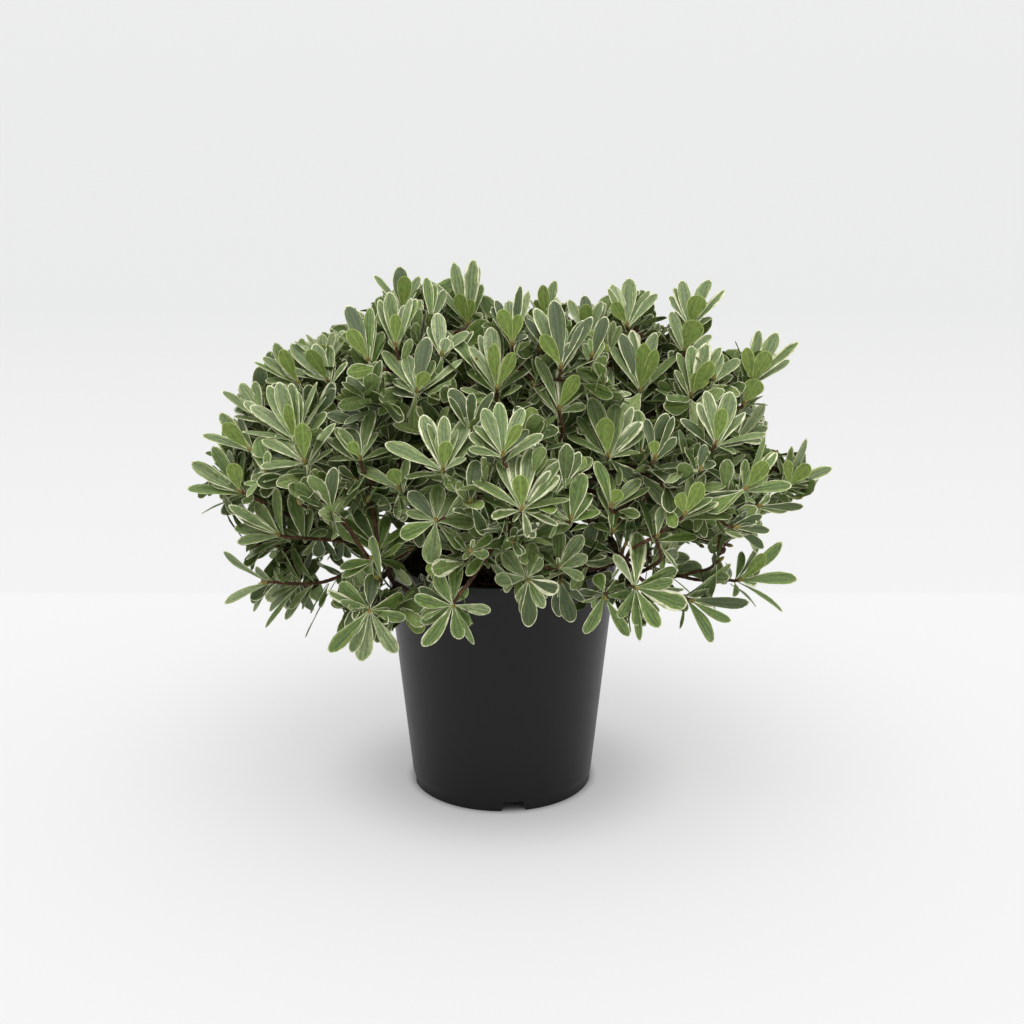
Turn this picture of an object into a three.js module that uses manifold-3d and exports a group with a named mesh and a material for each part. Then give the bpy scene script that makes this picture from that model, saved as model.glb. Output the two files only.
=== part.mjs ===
// Variegated pittosporum: a compact evergreen shrub in a black nursery pot.
//
// Millimetres, +Z up, origin at the centre of the pot's underside, on the ground.
// The front of the plant looks along -Y, and +X is its right-hand side.
//
// The pot is a thin tapered shell with a rim band, a foot band, a raised bottom
// and four drain notches. The potting mix fills it to a little below the rim.
// A short trunk stands on the mix and forks into five main limbs. They carry
// the lesser boughs, and every bough ends where it enters its mass of foliage.

import * as THREE from 'three';
import { mergeVertices } from 'three/addons/utils/BufferGeometryUtils.js';
import Module from 'manifold-3d';

const wasm = await Module();
wasm.setup();
const { Manifold, Mesh } = wasm;

// ---------------------------------------------------------------- sizes, mm

const GAP = 0.3;                 // clearance between pieces that touch

// pot
const POT_H = 240;               // height
const POT_TOP_R = 114;           // outside radius of the rim band
const POT_BOT_R = 88.7;          // outside radius just above the foot
const POT_WALL = 2.0;            // wall thickness
const RIM_H = 12;                // height of the rim band
const RIM_PROUD = 1.6;           // how far the rim band stands out of the wall
const FOOT_H = 10;               // height of the foot band
const FOOT_STEP = 0.8;           // how far the foot band steps in
const BOTTOM_Z = 5;              // underside of the raised bottom
const BOTTOM_T = 2.2;            // thickness of the bottom
const FOOT_RING = 4.5;           // width of the ring that the pot stands on
const NOTCH_COUNT = 4;           // drain notches at the foot
const NOTCH_TURN = -82.5;        // direction of the first notch, degrees from +X
const NOTCH_LOW_W = 23;          // notch width at the ground
const NOTCH_TOP_W = 18;          // notch width at its top
const NOTCH_H = 10;              // notch height
const POT_SIDES = 32;

// potting mix
const MIX_DROP = 24;             // from the rim's top edge down to the mix
const MIX_CROWN = 4;             // how much the mix rises to its middle
const MIX_FLAT_R = 30;           // level patch round the trunk

// trunk
const TRUNK_R = 13.5;            // radius at the middle
const TRUNK_FLARE = 21;          // radius at the flat cut
const TRUNK_TOP_R = 11.5;        // radius at the fork
const TRUNK_LEN = 46;            // from the flat cut to the fork
const TRUNK_LEAN = 5;            // how far the fork stands off the foot, to the right
const TRUNK_SIDES = 10;

// crown
const HUB_Z = 296;               // middle of the hollow that the limbs cross
const HUB_R = 106;               // its radius, level
const HUB_UP = 104;              // its half height
const CLEAR = 2.2;               // from a mass to the plane half way to its neighbour
const POT_CLEAR = 7;             // from a mass to the pot
const UNEVEN = 0.13;             // lumps on a mass, as a share of its radius
const BOUGH_SIDES = 6;
const BOUGH_STEPS = 4;
const BOUGH_ENTRY = 0.55;        // gap between a bough's end and the mass it enters

// Masses: azimuth in degrees from +X, distance from the pot's axis, height,
// half sizes outward, sideways and upward, slope of the outward axis in
// degrees, and how finely the surface is divided.
const MASSES = {
  skirt_front:        [268, 180, 304, 70, 62, 48, 4, 2],
  skirt_front_right:  [309, 196, 262, 70, 64, 55, -6, 3],
  skirt_right:        [342, 222, 262, 71, 64, 58, -4, 3],
  skirt_back_right:   [25, 214, 272, 76, 72, 58, 0, 2],
  skirt_back:         [68, 208, 266, 78, 74, 56, 0, 2],
  skirt_back_left:    [112, 212, 270, 80, 72, 58, 0, 2],
  skirt_left_back:    [153, 212, 272, 76, 70, 56, 2, 2],
  skirt_left:         [194, 208, 252, 68, 64, 54, -4, 3],
  skirt_front_left:   [232, 194, 253, 71, 58, 62, -10, 3],
  mid_left:           [184, 218, 331, 87, 76, 56, -8, 3],
  mid_front_left:     [228, 206, 344, 80, 78, 60, 6, 2],
  mid_front:          [272, 196, 366, 90, 78, 60, 10, 2],
  mid_front_right:    [316, 206, 348, 80, 78, 60, 6, 2],
  mid_right:          [359, 226, 330, 94, 76, 53, -5, 3],
  mid_back_right:     [45, 206, 354, 82, 78, 60, 4, 2],
  mid_back:           [90, 204, 350, 77, 76, 58, 4, 2],
  mid_back_left:      [137, 208, 354, 84, 78, 60, 4, 2],
  upper_left:         [182, 168, 395, 90, 80, 55, 8, 3],
  upper_front_left:   [234, 126, 430, 76, 72, 60, 26, 2],
  upper_front:        [288, 118, 434, 78, 76, 58, 28, 2],
  upper_right:        [348, 190, 414, 86, 76, 57, 10, 3],
  upper_back_right:   [48, 138, 420, 84, 76, 58, 16, 2],
  upper_back_left:    [126, 138, 422, 84, 78, 58, 16, 2],
  top_left:           [174, 72, 458, 74, 74, 58, 12, 3],
  top_middle:         [40, 28, 446, 70, 62, 52, 20, 3],
  top_right:          [4, 138, 444, 78, 72, 54, 12, 3],
};

// Boughs: what each one springs from, how far along it, its first and last
// radius, how steeply it rises at first and how its tip is turned, in degrees.
const BOUGHS = {
  mid_left:          ['trunk', 0.80, 7.6, 4.6, 62, 6],
  mid_front:         ['trunk', 0.86, 7.2, 4.4, 66, 10],
  mid_right:         ['trunk', 0.80, 7.8, 4.6, 62, 6],
  mid_back:          ['trunk', 0.86, 7.4, 4.4, 64, 8],
  top_middle:        ['trunk', 1.00, 8.0, 4.8, 88, 80],
  skirt_left:        ['mid_left', 0.20, 5.0, 3.4, 34, -18],
  skirt_left_back:   ['mid_left', 0.30, 4.8, 3.4, 30, -10],
  mid_back_left:     ['mid_left', 0.40, 5.0, 3.6, 44, 10],
  upper_left:        ['mid_left', 0.52, 4.6, 3.4, 66, 20],
  skirt_front:       ['mid_front', 0.20, 4.8, 3.4, 34, 0],
  skirt_front_left:  ['mid_front', 0.28, 5.0, 3.4, 26, -22],
  mid_front_left:    ['mid_front', 0.38, 5.0, 3.6, 40, 10],
  upper_front_left:  ['mid_front', 0.48, 4.6, 3.4, 70, 40],
  skirt_right:       ['mid_right', 0.20, 5.0, 3.4, 34, -16],
  skirt_front_right: ['mid_right', 0.28, 5.0, 3.4, 26, -20],
  mid_front_right:   ['mid_right', 0.38, 5.0, 3.6, 40, 10],
  skirt_back_right:  ['mid_right', 0.34, 4.8, 3.4, 26, -8],
  upper_right:       ['mid_right', 0.50, 4.8, 3.4, 64, 20],
  skirt_back:        ['mid_back', 0.20, 4.8, 3.4, 32, -10],
  skirt_back_left:   ['mid_back', 0.30, 4.8, 3.4, 26, -10],
  mid_back_right:    ['mid_back', 0.40, 5.0, 3.6, 42, 10],
  upper_back_right:  ['mid_back', 0.54, 4.6, 3.4, 66, 30],
  upper_back_left:   ['mid_back', 0.58, 4.4, 3.4, 68, 26],
  upper_front:       ['top_middle', 0.34, 4.8, 3.4, 44, 36],
  top_left:          ['top_middle', 0.44, 4.8, 3.4, 50, 50],
  top_right:         ['top_middle', 0.50, 4.8, 3.4, 44, 40],
};

// ------------------------------------------------------------------ helpers

const rad = THREE.MathUtils.degToRad;
const V = (x, y, z) => new THREE.Vector3(x, y, z);

function polar(azimuth, distance, z) {
  return V(Math.cos(rad(azimuth)) * distance, Math.sin(rad(azimuth)) * distance, z);
}

// A geometry's shared vertices are merged so that its surface closes.
function closed(geometry) {
  const g = geometry.clone();
  g.deleteAttribute('normal');
  g.deleteAttribute('uv');
  return mergeVertices(g, 1e-4);
}

function toSolid(geometry) {
  const g = closed(geometry);
  return new Manifold(new Mesh({
    numProp: 3,
    vertProperties: new Float32Array(g.attributes.position.array),
    triVerts: new Uint32Array(g.index.array),
  }));
}

function toGeometry(solid) {
  const m = solid.getMesh();
  const g = new THREE.BufferGeometry();
  g.setAttribute('position', new THREE.BufferAttribute(new Float32Array(m.vertProperties), 3));
  g.setIndex(new THREE.BufferAttribute(new Uint32Array(m.triVerts), 1));
  g.computeVertexNormals();
  return g;
}

// Keeps the largest piece that a cut leaves.
function mainPiece(solid) {
  const pieces = solid.decompose();
  pieces.sort((a, b) => b.volume() - a.volume());
  return pieces[0];
}

// A closed tapering limb along a list of points with a radius at each.
function limb(points, radii, sides, swell = 0) {
  const position = [];
  const index = [];
  let side = V(0, 1, 0);
  points.forEach((p, i) => {
    const a = points[Math.max(0, i - 1)];
    const b = points[Math.min(points.length - 1, i + 1)];
    const along = b.clone().sub(a).normalize();
    if (Math.abs(side.dot(along)) > 0.95) side = V(1, 0, 0);
    side = side.clone().addScaledVector(along, -side.dot(along)).normalize();
    const other = along.clone().cross(side);
    for (let k = 0; k < sides; k++) {
      const t = (2 * Math.PI * k) / sides;
      const q = p.clone()
        .addScaledVector(side, Math.cos(t) * (radii[i] + swell))
        .addScaledVector(other, Math.sin(t) * (radii[i] + swell));
      position.push(q.x, q.y, q.z);
    }
  });
  const last = points.length - 1;
  for (let i = 0; i < last; i++) {
    for (let k = 0; k < sides; k++) {
      const a = i * sides + k;
      const b = i * sides + ((k + 1) % sides);
      index.push(a, b, b + sides, a, b + sides, a + sides);
    }
  }
  const first = position.length / 3;
  position.push(points[0].x, points[0].y, points[0].z);
  position.push(points[last].x, points[last].y, points[last].z);
  for (let k = 0; k < sides; k++) {
    const n = (k + 1) % sides;
    index.push(first, n, k);
    index.push(first + 1, last * sides + k, last * sides + n);
  }
  const g = new THREE.BufferGeometry();
  g.setAttribute('position', new THREE.Float32BufferAttribute(position, 3));
  g.setIndex(index);
  return g;
}

// --------------------------------------------------------------------- pot

const SLOPE = (POT_TOP_R - RIM_PROUD - POT_BOT_R) / (POT_H - RIM_H - FOOT_H);
const wallR = (z) => POT_BOT_R + SLOPE * (z - FOOT_H);     // outside of the wall
const innerR = (z) => wallR(z) - POT_WALL;                 // inside of the wall

function lathe(profile, sides) {
  const g = new THREE.LatheGeometry(profile.map(([r, z]) => new THREE.Vector2(r, z)), sides);
  g.rotateX(Math.PI / 2);
  return g;
}

function potSolid() {
  const footR = POT_BOT_R - FOOT_STEP;
  const shell = toSolid(lathe([
    [0, BOTTOM_Z],
    [footR - FOOT_RING, BOTTOM_Z],
    [footR - FOOT_RING, 0],
    [footR, 0],
    [footR, FOOT_H],
    [wallR(FOOT_H + 0.6), FOOT_H + 0.6],
    [wallR(POT_H - RIM_H), POT_H - RIM_H],
    [POT_TOP_R - 0.3, POT_H - RIM_H + 0.8],
    [POT_TOP_R, POT_H - 1],
    [POT_TOP_R - 1, POT_H],
    [innerR(POT_H), POT_H],
    [innerR(BOTTOM_Z + BOTTOM_T), BOTTOM_Z + BOTTOM_T],
    [0, BOTTOM_Z + BOTTOM_T],
  ], POT_SIDES));

  // A notch has slanted sides and cuts the foot and the corner of the bottom.
  const outline = new THREE.Shape();
  outline.moveTo(-NOTCH_LOW_W / 2 - 1, -2);
  outline.lineTo(NOTCH_LOW_W / 2 + 1, -2);
  outline.lineTo(NOTCH_TOP_W / 2, NOTCH_H);
  outline.lineTo(-NOTCH_TOP_W / 2, NOTCH_H);
  let pot = shell;
  for (let i = 0; i < NOTCH_COUNT; i++) {
    const cutter = new THREE.ExtrudeGeometry(outline, { depth: 16, bevelEnabled: false });
    cutter.rotateX(Math.PI / 2);                 // the outline stands up, its depth along -Y
    cutter.translate(0, -POT_BOT_R + 11, 0);
    cutter.rotateZ(rad(NOTCH_TURN + 90 + (360 / NOTCH_COUNT) * i));
    pot = pot.subtract(toSolid(cutter));
  }
  return pot;
}

// ------------------------------------------------------------- potting mix

const mixEdgeZ = POT_H - MIX_DROP;
const mixTopZ = mixEdgeZ + MIX_CROWN;

function mixSolid() {
  const low = BOTTOM_Z + BOTTOM_T + GAP;
  // The mix keeps clear of the shell, whose flats stand inside its true circle.
  const inside = (z) => innerR(z) * Math.cos(Math.PI / POT_SIDES) - GAP;
  return lathe([
    [0, low],
    [inside(low), low],
    [inside(mixEdgeZ), mixEdgeZ],
    [inside(mixEdgeZ) * 0.72, mixEdgeZ + 2.6],
    [MIX_FLAT_R, mixTopZ],
    [0, mixTopZ],
  ], POT_SIDES);
}

// ------------------------------------------------------------------- trunk

const trunkFoot = V(0, 0, mixTopZ + GAP);

function trunkAt(t) {
  return V(TRUNK_LEAN * t * t, 1.5 * t, trunkFoot.z + TRUNK_LEN * t);
}

function trunkR(t) {
  const flare = (TRUNK_FLARE - TRUNK_R) * Math.exp(-7 * t);
  return flare + TRUNK_R + (TRUNK_TOP_R - TRUNK_R) * t;
}

function trunkGeometry(swell = 0) {
  const steps = [0, 0.06, 0.16, 0.32, 0.62, 1];
  const g = limb(steps.map(trunkAt), steps.map(trunkR), TRUNK_SIDES, swell);
  // The lowest ring is level: the trunk is cut flat at the top of the mix.
  const p = g.attributes.position;
  for (let k = 0; k < TRUNK_SIDES; k++) p.setZ(k, trunkFoot.z);
  return g;
}

// ------------------------------------------------------ masses of foliage

const masses = Object.entries(MASSES).map(([name, row], i) => {
  const [azimuth, distance, z, outward, sideways, upward, slope, detail] = row;
  const centre = polar(azimuth, distance, z);
  const out = V(
    Math.cos(rad(azimuth)) * Math.cos(rad(slope)),
    Math.sin(rad(azimuth)) * Math.cos(rad(slope)),
    Math.sin(rad(slope)),
  );
  const across = V(-Math.sin(rad(azimuth)), Math.cos(rad(azimuth)), 0);
  const up = out.clone().cross(across).normalize();
  return { name, centre, out, across, up, outward, sideways, upward, detail, seed: 1.7 * i + 0.4 };
});

// Smooth lumps over a sphere, between -1 and 1, different for each mass.
function lumps(u, seed) {
  const a = Math.sin(3.3 * u.x + seed) * Math.sin(2.9 * u.y + 2.1 * seed);
  const b = Math.sin(4.7 * u.z + 1.3 * seed) * Math.cos(4.1 * u.x - seed);
  const c = Math.sin(6.1 * u.y + 0.7 * seed) * Math.sin(5.3 * u.z + 1.9 * seed);
  return 0.5 * a + 0.32 * b + 0.3 * c;
}

function radiusOf(m, u) {
  const x = u.dot(m.out) / m.outward;
  const y = u.dot(m.across) / m.sideways;
  const z = u.dot(m.up) / m.upward;
  return (1 + UNEVEN * lumps(u, m.seed)) / Math.sqrt(x * x + y * y + z * z);
}

// Where a mass may be: outside the hollow, clear of the pot, and on its own
// side of the plane half way to each neighbour, weighed by their sizes.
function allowed(m, p) {
  const hub = (p.x * p.x + p.y * p.y) / (HUB_R * HUB_R) + ((p.z - HUB_Z) / HUB_UP) ** 2;
  if (hub < 1) return false;
  if (p.z < POT_H + POT_CLEAR && Math.hypot(p.x, p.y) < POT_TOP_R + POT_CLEAR) return false;
  for (const n of masses) {
    if (n === m) continue;
    const gap = n.centre.clone().sub(m.centre);
    const span = gap.length();
    const share = (m.outward + m.sideways + m.upward) /
      (m.outward + m.sideways + m.upward + n.outward + n.sideways + n.upward);
    if (p.clone().sub(m.centre).dot(gap) / span > span * share - CLEAR) return false;
  }
  return true;
}

function massGeometry(m, swell = 0) {
  const g = closed(new THREE.IcosahedronGeometry(1, m.detail));
  const p = g.attributes.position;
  for (let i = 0; i < p.count; i++) {
    const u = V(p.getX(i), p.getY(i), p.getZ(i)).normalize();
    const reach = radiusOf(m, u);
    let r = 0;
    while (r < reach && allowed(m, m.centre.clone().addScaledVector(u, r + 1))) r += 1;
    r = Math.min(r, reach) + swell;
    const q = m.centre.clone().addScaledVector(u, r);
    p.setXYZ(i, q.x, q.y, q.z);
  }
  return g;
}

// ------------------------------------------------------------------ boughs

function curveAt(c, t) {
  const s = 1 - t;
  return V(0, 0, 0)
    .addScaledVector(c[0], s * s * s)
    .addScaledVector(c[1], 3 * s * s * t)
    .addScaledVector(c[2], 3 * s * t * t)
    .addScaledVector(c[3], t * t * t);
}

const boughs = {};
for (const [name, row] of Object.entries(BOUGHS)) {
  const [parent, at, r0, r1, rise, tip] = row;
  const mass = masses.find((m) => m.name === name);
  const start = parent === 'trunk' ? trunkAt(at) : curveAt(boughs[parent].curve, at);
  const level = V(mass.centre.x - start.x, mass.centre.y - start.y, 0).normalize();
  const span = mass.centre.distanceTo(start);
  const first = level.clone().multiplyScalar(Math.cos(rad(rise))).add(V(0, 0, Math.sin(rad(rise))));
  const lastWay = level.clone().multiplyScalar(Math.cos(rad(tip))).add(V(0, 0, Math.sin(rad(tip))));
  boughs[name] = {
    parent, r0, r1,
    curve: [
      start,
      start.clone().addScaledVector(first, span * 0.34),
      mass.centre.clone().addScaledVector(lastWay, -span * 0.36),
      mass.centre.clone(),
    ],
  };
}

function boughGeometry(b, swell = 0) {
  const points = [];
  const radii = [];
  for (let i = 0; i <= BOUGH_STEPS; i++) {
    const t = i / BOUGH_STEPS;
    points.push(curveAt(b.curve, t));
    radii.push(b.r0 + (b.r1 - b.r0) * t);
  }
  return limb(points, radii, BOUGH_SIDES, swell);
}

// ---------------------------------------------------------------- assembly

const finish = (colour, roughness, metalness = 0) =>
  new THREE.MeshStandardMaterial({ color: colour, roughness, metalness });

const group = new THREE.Group();

function add(name, geometry, material) {
  geometry.computeVertexNormals();
  const mesh = new THREE.Mesh(geometry, material);
  mesh.name = name;
  group.add(mesh);
  return mesh;
}

add('pot', toGeometry(potSolid()), finish(0x202020, 0.5));
add('potting_mix', closed(mixSolid()), finish(0x3a2a1f, 0.95));

const trunkCutter = toSolid(trunkGeometry(GAP));
add('trunk', trunkGeometry(), finish(0x5b4636, 0.85));

const bark = finish(0x6b4a38, 0.8);
for (const [name, b] of Object.entries(boughs)) {
  const mass = masses.find((m) => m.name === name);
  let solid = toSolid(boughGeometry(b))
    .subtract(b.parent === 'trunk' ? trunkCutter : toSolid(boughGeometry(boughs[b.parent], GAP)))
    .subtract(toSolid(massGeometry(mass, BOUGH_ENTRY)));
  // Limbs that spring from one place are cut clear of the ones made before.
  for (const other of Object.keys(boughs)) {
    if (other === name) break;
    if (other !== b.parent) solid = solid.subtract(toSolid(boughGeometry(boughs[other], GAP)));
  }
  add(`bough_${name}`, toGeometry(mainPiece(solid)), bark);
}

const greens = [0x7f9170, 0x8b9a7c, 0x748a64, 0x939f83];
masses.forEach((m, i) => {
  add(`foliage_${m.name}`, massGeometry(m), finish(greens[i % greens.length], 0.9));
});

export default group;
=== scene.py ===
"""Looks of a variegated pittosporum in its nursery pot.

The shrub's solids are replaced by limbs with bark, twigs and leaves that grow on
from the limbs by a seeded branching rule. Lengths in the tables are millimetres,
in the part's own frame; meshes are made in metres.
"""

import math

import bpy
import numpy as np
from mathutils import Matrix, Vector


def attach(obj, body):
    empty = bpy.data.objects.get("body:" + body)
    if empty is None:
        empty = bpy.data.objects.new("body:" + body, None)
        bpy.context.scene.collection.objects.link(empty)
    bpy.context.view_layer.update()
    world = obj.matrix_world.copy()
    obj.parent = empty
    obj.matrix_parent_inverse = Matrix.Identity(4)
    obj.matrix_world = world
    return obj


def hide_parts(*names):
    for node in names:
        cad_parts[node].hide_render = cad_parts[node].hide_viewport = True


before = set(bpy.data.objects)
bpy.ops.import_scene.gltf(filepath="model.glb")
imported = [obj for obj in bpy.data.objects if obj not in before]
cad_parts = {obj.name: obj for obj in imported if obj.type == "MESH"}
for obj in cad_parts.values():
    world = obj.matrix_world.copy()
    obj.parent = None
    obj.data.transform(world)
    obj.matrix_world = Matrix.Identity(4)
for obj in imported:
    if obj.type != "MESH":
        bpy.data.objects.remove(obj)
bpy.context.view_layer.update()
NODES = sorted(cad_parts)
MM = 0.001
rng = np.random.default_rng(20251)

# ------------------------------------------------------------------ camera

CAM = np.array([10.099, -1859.903, 862.926])
PITCH = math.radians(17.459)
FOCAL = 2000.0                     # in pixels of the 1024 px frame
RIGHT = np.array([1.0, 0.0, 0.0])
FORE = np.array([0.0, math.cos(PITCH), -math.sin(PITCH)])
UPC = np.array([0.0, math.sin(PITCH), math.cos(PITCH)])
UP = np.array([0.0, 0.0, 1.0])


def project(p):
    d = np.atleast_2d(p) - CAM
    z = d @ FORE
    return 512 + FOCAL * d[:, 0] / z, 512 - FOCAL * (d @ UPC) / z, z


def ray(u, v):
    return FORE + RIGHT * (u - 512) / FOCAL - UPC * (v - 512) / FOCAL


def unit(v):
    v = np.asarray(v, float)
    return v / np.maximum(np.linalg.norm(v, axis=-1, keepdims=True), 1e-9)


# ------------------------------------------------- the shrub's plan, as in CAD

# Masses: azimuth in degrees from +X, distance from the pot's axis, height,
# half sizes outward, sideways and upward, slope of the outward axis.
MASSES = {
    "skirt_front": (268, 180, 304, 70, 62, 48, 4),
    "skirt_front_right": (309, 196, 262, 70, 64, 55, -6),
    "skirt_right": (342, 222, 262, 71, 64, 58, -4),
    "skirt_back_right": (25, 214, 272, 76, 72, 58, 0),
    "skirt_back": (68, 208, 266, 78, 74, 56, 0),
    "skirt_back_left": (112, 212, 270, 80, 72, 58, 0),
    "skirt_left_back": (153, 212, 272, 76, 70, 56, 2),
    "skirt_left": (194, 208, 252, 68, 64, 54, -4),
    "skirt_front_left": (232, 194, 253, 71, 58, 62, -10),
    "mid_left": (184, 218, 331, 87, 76, 56, -8),
    "mid_front_left": (228, 206, 344, 80, 78, 60, 6),
    "mid_front": (272, 196, 366, 90, 78, 60, 10),
    "mid_front_right": (316, 206, 348, 80, 78, 60, 6),
    "mid_right": (359, 226, 330, 94, 76, 53, -5),
    "mid_back_right": (45, 206, 354, 82, 78, 60, 4),
    "mid_back": (90, 204, 350, 77, 76, 58, 4),
    "mid_back_left": (137, 208, 354, 84, 78, 60, 4),
    "upper_left": (182, 168, 395, 90, 80, 55, 8),
    "upper_front_left": (234, 126, 430, 76, 72, 60, 26),
    "upper_front": (288, 118, 434, 78, 76, 58, 28),
    "upper_right": (348, 190, 414, 86, 76, 57, 10),
    "upper_back_right": (48, 138, 420, 84, 76, 58, 16),
    "upper_back_left": (126, 138, 422, 84, 78, 58, 16),
    "top_left": (174, 72, 458, 74, 74, 58, 12),
    "top_middle": (40, 28, 446, 70, 62, 52, 20),
    "top_right": (4, 138, 444, 78, 72, 54, 12),
}

# Boughs: what each springs from, how far along, first and last radius, rise at
# first and turn of the tip in degrees.
BOUGHS = {
    "mid_left": ("trunk", 0.80, 7.6, 4.6, 62, 6),
    "mid_front": ("trunk", 0.86, 7.2, 4.4, 66, 10),
    "mid_right": ("trunk", 0.80, 7.8, 4.6, 62, 6),
    "mid_back": ("trunk", 0.86, 7.4, 4.4, 64, 8),
    "top_middle": ("trunk", 1.00, 8.0, 4.8, 88, 80),
    "skirt_left": ("mid_left", 0.20, 5.0, 3.4, 34, -18),
    "skirt_left_back": ("mid_left", 0.30, 4.8, 3.4, 30, -10),
    "mid_back_left": ("mid_left", 0.40, 5.0, 3.6, 44, 10),
    "upper_left": ("mid_left", 0.52, 4.6, 3.4, 66, 20),
    "skirt_front": ("mid_front", 0.20, 4.8, 3.4, 34, 0),
    "skirt_front_left": ("mid_front", 0.28, 5.0, 3.4, 26, -22),
    "mid_front_left": ("mid_front", 0.38, 5.0, 3.6, 40, 10),
    "upper_front_left": ("mid_front", 0.48, 4.6, 3.4, 70, 40),
    "skirt_right": ("mid_right", 0.20, 5.0, 3.4, 34, -16),
    "skirt_front_right": ("mid_right", 0.28, 5.0, 3.4, 26, -20),
    "mid_front_right": ("mid_right", 0.38, 5.0, 3.6, 40, 10),
    "skirt_back_right": ("mid_right", 0.34, 4.8, 3.4, 26, -8),
    "upper_right": ("mid_right", 0.50, 4.8, 3.4, 64, 20),
    "skirt_back": ("mid_back", 0.20, 4.8, 3.4, 32, -10),
    "skirt_back_left": ("mid_back", 0.30, 4.8, 3.4, 26, -10),
    "mid_back_right": ("mid_back", 0.40, 5.0, 3.6, 42, 10),
    "upper_back_right": ("mid_back", 0.54, 4.6, 3.4, 66, 30),
    "upper_back_left": ("mid_back", 0.58, 4.4, 3.4, 68, 26),
    "upper_front": ("top_middle", 0.34, 4.8, 3.4, 44, 36),
    "top_left": ("top_middle", 0.44, 4.8, 3.4, 50, 50),
    "top_right": ("top_middle", 0.50, 4.8, 3.4, 44, 40),
}

NAMES = list(MASSES)
M_CENTRE, M_AXES, M_SIZE = [], [], []
for _n in NAMES:
    az, dist, z, so, ss, su, slope = MASSES[_n]
    a, s = math.radians(az), math.radians(slope)
    out = np.array([math.cos(a) * math.cos(s), math.sin(a) * math.cos(s), math.sin(s)])
    across = np.array([-math.sin(a), math.cos(a), 0.0])
    M_CENTRE.append([math.cos(a) * dist, math.sin(a) * dist, z])
    M_AXES.append([out, across, unit(np.cross(out, across))])
    M_SIZE.append([so, ss, su])
M_CENTRE, M_AXES, M_SIZE = map(np.array, (M_CENTRE, M_AXES, M_SIZE))


def depth_in(p):
    """How far each point is from each mass's centre, 1 on its surface: (points, masses)."""
    p = np.atleast_2d(p)
    d = p[:, None, :] - M_CENTRE[None]
    q = np.einsum("pmk,mjk->pmj", d, M_AXES) / M_SIZE[None]
    return np.linalg.norm(q, axis=2)


def bezier(c, t):
    t = np.atleast_1d(t)[:, None]
    s = 1 - t
    return s**3 * c[0] + 3 * s * s * t * c[1] + 3 * s * t * t * c[2] + t**3 * c[3]


def bezier_way(c, t):
    t = float(t)
    s = 1 - t
    return unit(3 * s * s * (c[1] - c[0]) + 6 * s * t * (c[2] - c[1]) + 3 * t * t * (c[3] - c[2]))


TRUNK_Z, TRUNK_LEN = 220.3, 46.0


def trunk_at(t):
    return np.array([5 * t * t, 1.5 * t, TRUNK_Z + TRUNK_LEN * t])


def trunk_r(t):
    return 7.5 * math.exp(-7 * max(t, 0)) + 13.5 - 2 * t


CURVES = {}
for _n, (parent, at, r0, r1, rise, tip) in BOUGHS.items():
    start = trunk_at(at) if parent == "trunk" else bezier(CURVES[parent], at)[0]
    centre = M_CENTRE[NAMES.index(_n)]
    level = unit([centre[0] - start[0], centre[1] - start[1], 0.0])
    span = np.linalg.norm(centre - start)
    ra, ta = math.radians(rise), math.radians(tip)
    first = level * math.cos(ra) + UP * math.sin(ra)
    last = level * math.cos(ta) + UP * math.sin(ta)
    CURVES[_n] = np.array([start, start + first * span * 0.34, centre - last * span * 0.36, centre])

# ------------------------------------------------------------------- shoots

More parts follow.
